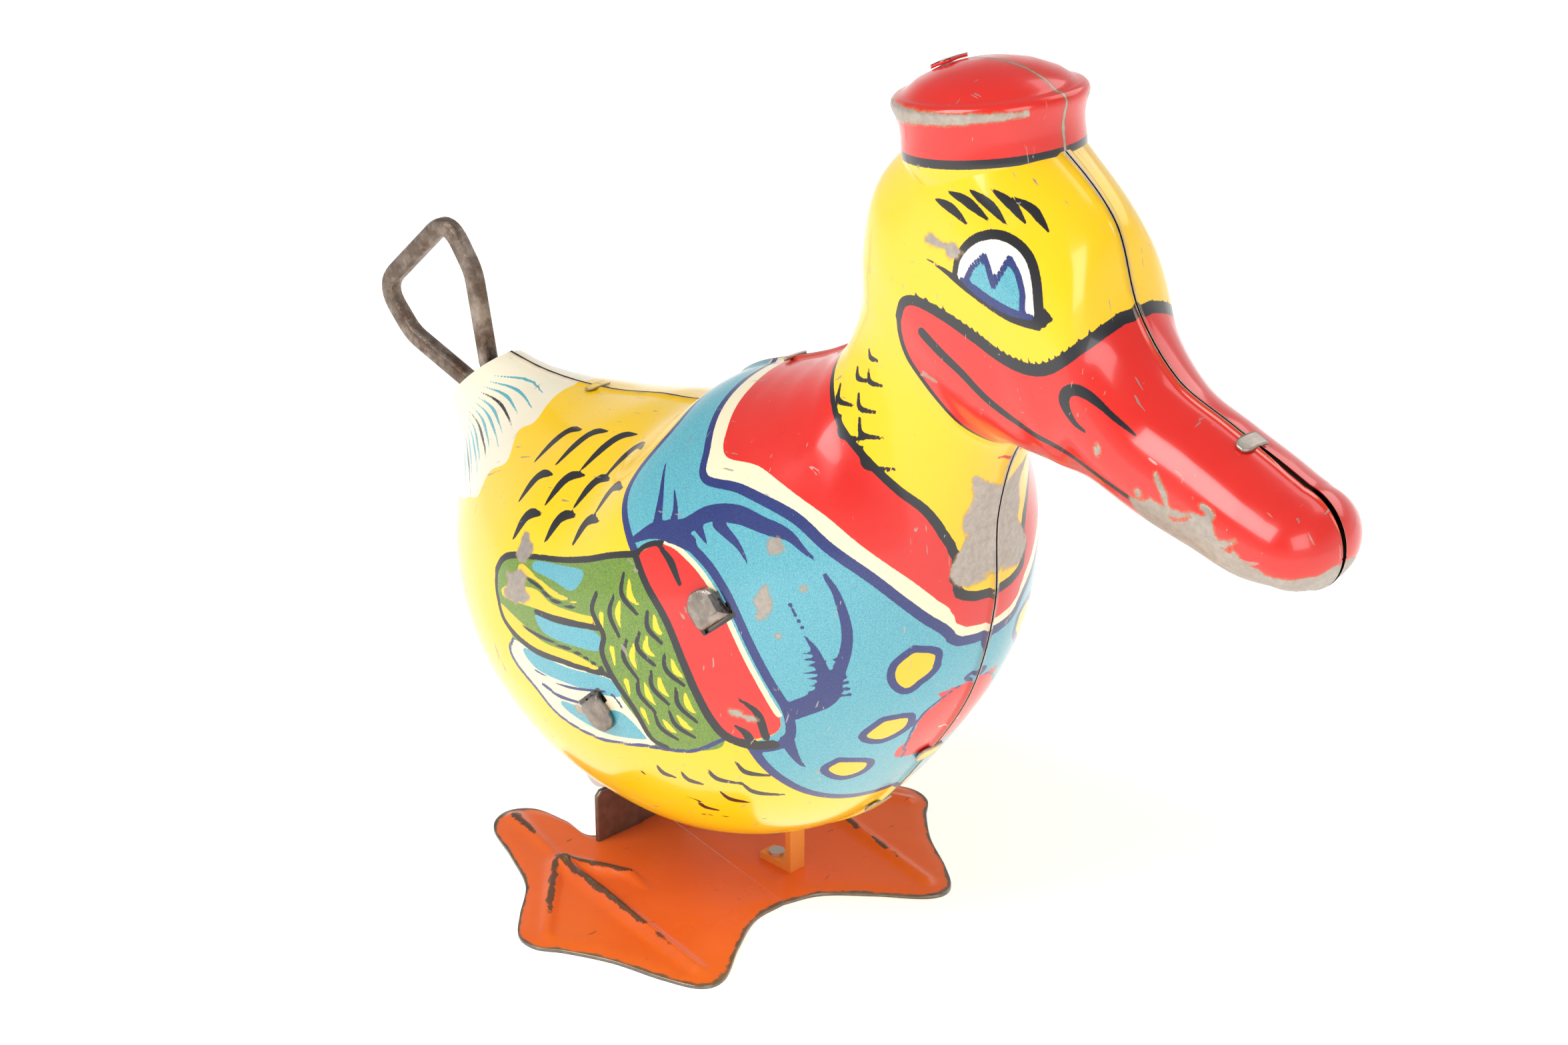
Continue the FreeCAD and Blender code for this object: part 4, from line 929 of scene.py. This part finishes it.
def feet(material):
    points, faces, ridges, rims, base = [], [], [], [], 0
    for side in (-1, 1):
        p, f, ridge, rim = foot_half(side)
        under = p.copy()
        under[:, 2] = np.maximum(p[:, 2] - 0.6, 0.0)
        count = len(p)
        last = np.arange(count - count // FOOT_RINGS, count)
        wall = np.stack([last[:-1], last[1:], last[1:] + count, last[:-1] + count], -1)
        points += [p, under]
        faces += [f + base, f[:, ::-1] + base + count, wall[:, ::side] + base]
        ridges += [ridge, ridge]
        rims += [rim, np.zeros(count)]
        base += 2 * count
    flat = np.concatenate(points)
    turned = flat.copy()
    x = flat[:, 0] - YAW_X
    turned[:, 0] = YAW_X + x * math.cos(FEET_YAW) - flat[:, 1] * math.sin(FEET_YAW)
    turned[:, 1] = x * math.sin(FEET_YAW) + flat[:, 1] * math.cos(FEET_YAW)
    item = make_object("feet_skin", turned, np.concatenate(faces), material)
    set_field(item, "ridge", np.concatenate(ridges))
    set_field(item, "rim", np.concatenate(rims))
    fix_normals(item)
    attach(item, "feet")
    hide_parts("feet_plate")
    flange(material)


def bevelled(name, points, faces, material, width, body="feet"):
    """Feet piece with rounded edges."""
    item = make_object(name, points, faces, material, smooth=False)
    fix_normals(item)
    bevel = item.modifiers.new("edges", "BEVEL")
    bevel.width = width * MM
    bevel.segments = 3
    bevel.limit_method = "ANGLE"
    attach(item, body)


def flange(material):
    """Rear flange of the feet with its knuckle, where the hinge pin runs."""
    x, z = -24.0, 9.5
    outline = [(-7, 0.1), (7, 0.1), (7, 6.4), (6.4, 7), (0.8, 7), (0.8, z), (-5.3, z), (-5.3, 7), (-6.4, 7), (-7, 6.4)]
    count = len(outline)
    points = [(x - 0.3, y, h) for y, h in outline] + [(x + 0.3, y, h) for y, h in outline]
    faces = [tuple(range(count)), tuple(range(2 * count - 1, count - 1, -1))]
    faces += [(k, (k + 1) % count, count + (k + 1) % count, count + k) for k in range(count)]
    bevelled("feet_flange", points, faces, material, 0.15)
    turn = np.linspace(0, 2 * math.pi, 40, endpoint=False)
    profile = ((0.96, -5.3), (1.8, -5.3), (1.8, 0.8), (0.96, 0.8))
    ring = [(x + r * math.cos(t), y, z + r * math.sin(t)) for r, y in profile for t in turn]
    bevelled("feet_knuckle", ring, ring_faces(len(profile), len(turn)), material, 0.1)


# ---------------------------------------------------------------- tabs
def frame_tabs(material):
    """Front plate with its folded side tabs pressed onto the shells."""
    source = NODES["frame_front_plate"].data
    co = np.empty(len(source.vertices) * 3)
    source.vertices.foreach_get("co", co)
    points = co.reshape(-1, 3) / MM
    keep = np.abs(points[:, 1]) < 21.0
    points[~keep, 1] = np.sign(points[~keep, 1]) * 19.2
    plate = make_object("plate_skin", points, [tuple(p.vertices) for p in source.polygons], material, False)
    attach(plate, "body")
    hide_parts("frame_front_plate")
    for name, fold in (("low", 1), ("high", -1)):
        for side in (-1, 1):
            folded_tab(f"tab_{name}_{'left' if side > 0 else 'right'}", TAB_RISES[name], fold, side, material)


def surface_width(x, z):
    """Half-width of the shell at a side-view point."""
    at = np.linspace(0, LAST, 260)[:, None] * np.ones(120)
    angle = np.linspace(0, math.pi, 120)[None, :] * np.ones((260, 1))
    grid = shell_points(at, angle)
    gap = (grid[..., 0] - x) ** 2 + (grid[..., 2] - z) ** 2
    return -grid[..., 1].ravel()[gap.argmin()]


def folded_tab(name, rise, fold, side, material):
    """Rounded tongue: comes out through the slot and lies along the shell."""
    half, length, thick = 1.8, 3.3, 0.7
    across = np.linspace(-1, 1, 15)
    along = np.linspace(-0.9, length, 22)
    base = TAIL + DEPTH * (PLATE_DEPTH + 0.4) + RISE * rise
    probe = {}
    for step in (-1.0, 0.0, 1.8, 3.0):
        spot = base + DEPTH * fold * step
        probe[step] = surface_width(spot[0], spot[2])
    reach = np.interp(along, sorted(probe), [probe[k] for k in sorted(probe)])
    tilt = {}
    for step in (-1.5, 1.5):
        spot = base + DEPTH * fold * 1.2 + RISE * step
        tilt[step] = surface_width(spot[0], spot[2])
    lean = (tilt[1.5] - tilt[-1.5]) / 3.0
    top, under = [], []
    for i, a in enumerate(along):
        narrow = 1.0 if a < length - 1.7 else math.sqrt(max(0.06, 1 - ((a - length + 1.7) / 1.75) ** 2))
        rise_up = 1 - math.exp(-max(a + 0.9, 0) / 0.45)
        for c in across:
            shift = max(a, -0.35) * fold
            place = base + DEPTH * shift + RISE * (c * half * narrow)
            lift = reach[i] + lean * c * half * narrow - 1.6 + (1.6 + 0.12) * rise_up
            crown = 0.12 * (1 - c * c) + 0.1 * math.exp(-((a - 0.1) / 0.5) ** 2)
            top.append((place[0], side * (lift + thick * (1 - 0.25 * c ** 6) + crown), place[2]))
            under.append((place[0], side * lift, place[2]))
    item = tongue(name, top, under, (len(along), len(across)), material)
    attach(item, "body")


def seam_tab(name, at, bottom, length, inks, material):
    """Small tongue of the left shell folded across the seam onto the right one."""
    place, turn = np.meshgrid(np.linspace(-1, 1, 11), np.linspace(-1.3, length, 17), indexing="ij")
    reach = smooth_through(WIDTHS, np.array(at))
    angle = turn / reach
    tip = np.clip((turn - (length - 1.0)) / 1.0, 0, 1)
    narrow = np.sqrt(np.clip(1 - 0.85 * tip ** 2, 0.1, 1))
    spot = at + place * narrow * 1.08
    top, under = (shell_points(spot, math.pi - angle if bottom else angle, lift).reshape(-1, 3)
                  for lift in (0.48, 0.16))
    item = tongue(name, top, under, place.shape, material)
    for ink in INKS_AND_REFLECTION:
        set_field(item, ink, np.full(2 * place.size, -1.0 if ink in inks else 1.0))
    border = np.minimum((1 - np.abs(place)) * 1.3, length - turn)
    set_field(item, "rim", np.concatenate([border.ravel(), np.zeros(place.size)]))
    set_field(item, "inside", np.zeros(2 * place.size))
    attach(item, "body")


def cap_tab(material):
    """Tongue folded over the seam on top of the cap."""
    radii, heights = np.array(CAP_PROFILE[:-CAP_DOME - 1:-1]).T
    u, v = np.meshgrid(np.linspace(-1.2, 1.2, 11), np.linspace(-2.3, 0.8, 13), indexing="ij")
    narrow = np.sqrt(np.clip(1 - 0.8 * np.clip((-1.3 - v), 0, 1) ** 2, 0.1, 1))
    x = -4.3 + u * narrow
    dome = np.interp(np.hypot(x, v), radii, heights)
    top, under = (cap_place(x, v, dome + lift).reshape(-1, 3) for lift in (0.5, 0.12))
    item = tongue("cap_tab", top, under, u.shape, material)
    border = np.minimum(1.2 - np.abs(u), v + 2.3).ravel()
    for ink in INKS_AND_REFLECTION:
        values = np.full(2 * u.size, -1.0 if ink == "red" else 1.0)
        if ink == "black":
            values[:u.size] = border - 0.22
        set_field(item, ink, values)
    set_field(item, "rim", np.full(2 * u.size, 2.0))
    set_field(item, "inside", np.zeros(2 * u.size))
    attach(item, "body")


def knot_near(x, bottom):
    """Knot place where the seam passes a given x."""
    at = np.linspace(0, LAST, 2000)
    line = smooth_through((LOWS if bottom else TOPS)[:, 0], at)
    return at[np.abs(line - x).argmin()]


def shells(material):
    points, faces, fields = shell_skin()
    for hand, side in (("right", 1), ("left", -1)):
        item = make_object(f"{hand}_skin", points * np.array([1, side, 1]), faces[:, ::side], material)
        for name, values in fields.items():
            set_field(item, name, values)
        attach(item, "body")
        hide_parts(f"{hand}_shell")
    seam_tab("seam_tab_back", knot_near(-30, False), False, 1.5, (), material)
    seam_tab("seam_tab_collar", knot_near(0.5, False), False, 1.5, ("jred",), material)
    seam_tab("seam_tab_bill", knot_near(56.6, False), False, 1.8, ("red", "worn"), material)
    cap_tab(material)
    seam_tab("seam_tab_breast", LAST * 0.445, True, 1.7, (), material)
    seam_tab("seam_tab_belly", knot_near(12.5, True), True, 1.6, (), material)


# ---------------------------------------------------------------- picture
def dress_clockwork():
    finishes = {
        "frame_steel": metal_finish("frame_steel", "807770", "B6ADA3", rust="6B4A32"),
        "shaft_steel": metal_finish("shaft_steel", "8A8680", "C4C0B8", (0.2, 0.35)),
        "spring_steel": metal_finish("spring_steel", "3C4048", "6E727A", (0.25, 0.4)),
        "gear_brass": metal_finish("gear_brass", "A8823A", "D9B45C", (0.25, 0.42)),
        "bush_brass": metal_finish("bush_brass", "9C7834", "CFA852", (0.25, 0.4)),
        "key_steel": metal_finish("key_steel", "6A5C52", "A4968A", (0.3, 0.5), rust="5A4234", grain=420.0),
    }
    for row in frame["record"]["materials"]:
        if row["slot"] in finishes:
            for name in row.get("nodes", []):
                NODES[name].data.materials.clear()
                NODES[name].data.materials.append(finishes[row["slot"]])
    return finishes


def stage():
    """White floor, a studio sky that is brightest at the horizon, and three soft lights."""
    floor = Shader("floor")
    floor.set(Base_Color=linear("FBF9F6"), Roughness=0.6, Specular_IOR_Level=0.1)
    floor.set(Emission_Color=linear("FFFDFA"), Emission_Strength=0.46)
    base = make_object("floor", [(-3000, -3000, 0), (3000, -3000, 0), (3000, 3000, 0), (-3000, 3000, 0)],
                       [(0, 1, 2, 3)], floor.material, False)
    world = bpy.data.worlds.new("studio")
    world.use_nodes = True
    world.node_tree.nodes["Background"].inputs["Color"].default_value = (1.0, 0.985, 0.965, 1)
    nodes, links = world.node_tree.nodes, world.node_tree.links
    place = nodes.new("ShaderNodeTexCoord")
    split = nodes.new("ShaderNodeSeparateXYZ")
    fade = nodes.new("ShaderNodeMapRange")
    for name, value in (("From Min", 0.04), ("From Max", 0.4), ("To Min", 0.9), ("To Max", 0.32)):
        fade.inputs[name].default_value = value
    links.new(place.outputs["Generated"], split.inputs[0])
    links.new(split.outputs["Z"], fade.inputs["Value"])
    links.new(fade.outputs[0], nodes["Background"].inputs["Strength"])
    bpy.context.scene.view_settings.view_transform = "Standard"
    bpy.context.scene.world = world
    for name, place, wide, power in (("key_light", (-0.15, -0.55, 0.65), 0.5, 4.6),
                                     ("side_light", (0.62, -0.18, 0.4), 0.35, 1.3),
                                     ("back_light", (0.1, 0.7, 0.6), 0.6, 1.9)):
        data = bpy.data.lights.new(name, "AREA")
        data.size = wide
        data.energy = power
        lamp = bpy.data.objects.new(name, data)
        lamp.location = place
        lamp.rotation_euler = (Vector((0.005, 0, 0.05)) - Vector(place)).to_track_quat("-Z", "Y").to_euler()
        bpy.context.scene.collection.objects.link(lamp)


def camera():
    """Three-quarter view from the front right, a little above."""
    azimuth, height = math.radians(45), math.radians(24.5)
    back = Vector((math.sin(azimuth) * math.cos(height), -math.cos(azimuth) * math.cos(height), math.sin(height)))
    target = Vector((-0.0012, 0, 0.0452))
    data = bpy.data.cameras.new("camera")
    data.lens = 68.9
    data.sensor_width = 36
    data.clip_start = 0.01
    item = bpy.data.objects.new("camera", data)
    item.location = target + back * 0.3098
    item.rotation_euler = (-back).to_track_quat("-Z", "Y").to_euler()
    bpy.context.scene.collection.objects.link(item)
    bpy.context.scene.camera = item


finish = dress_clockwork()
tin = litho_tin()
shells(tin)
frame_tabs(finish["frame_steel"])
feet(feet_enamel())
winding_key(finish["key_steel"])
stage()
camera()
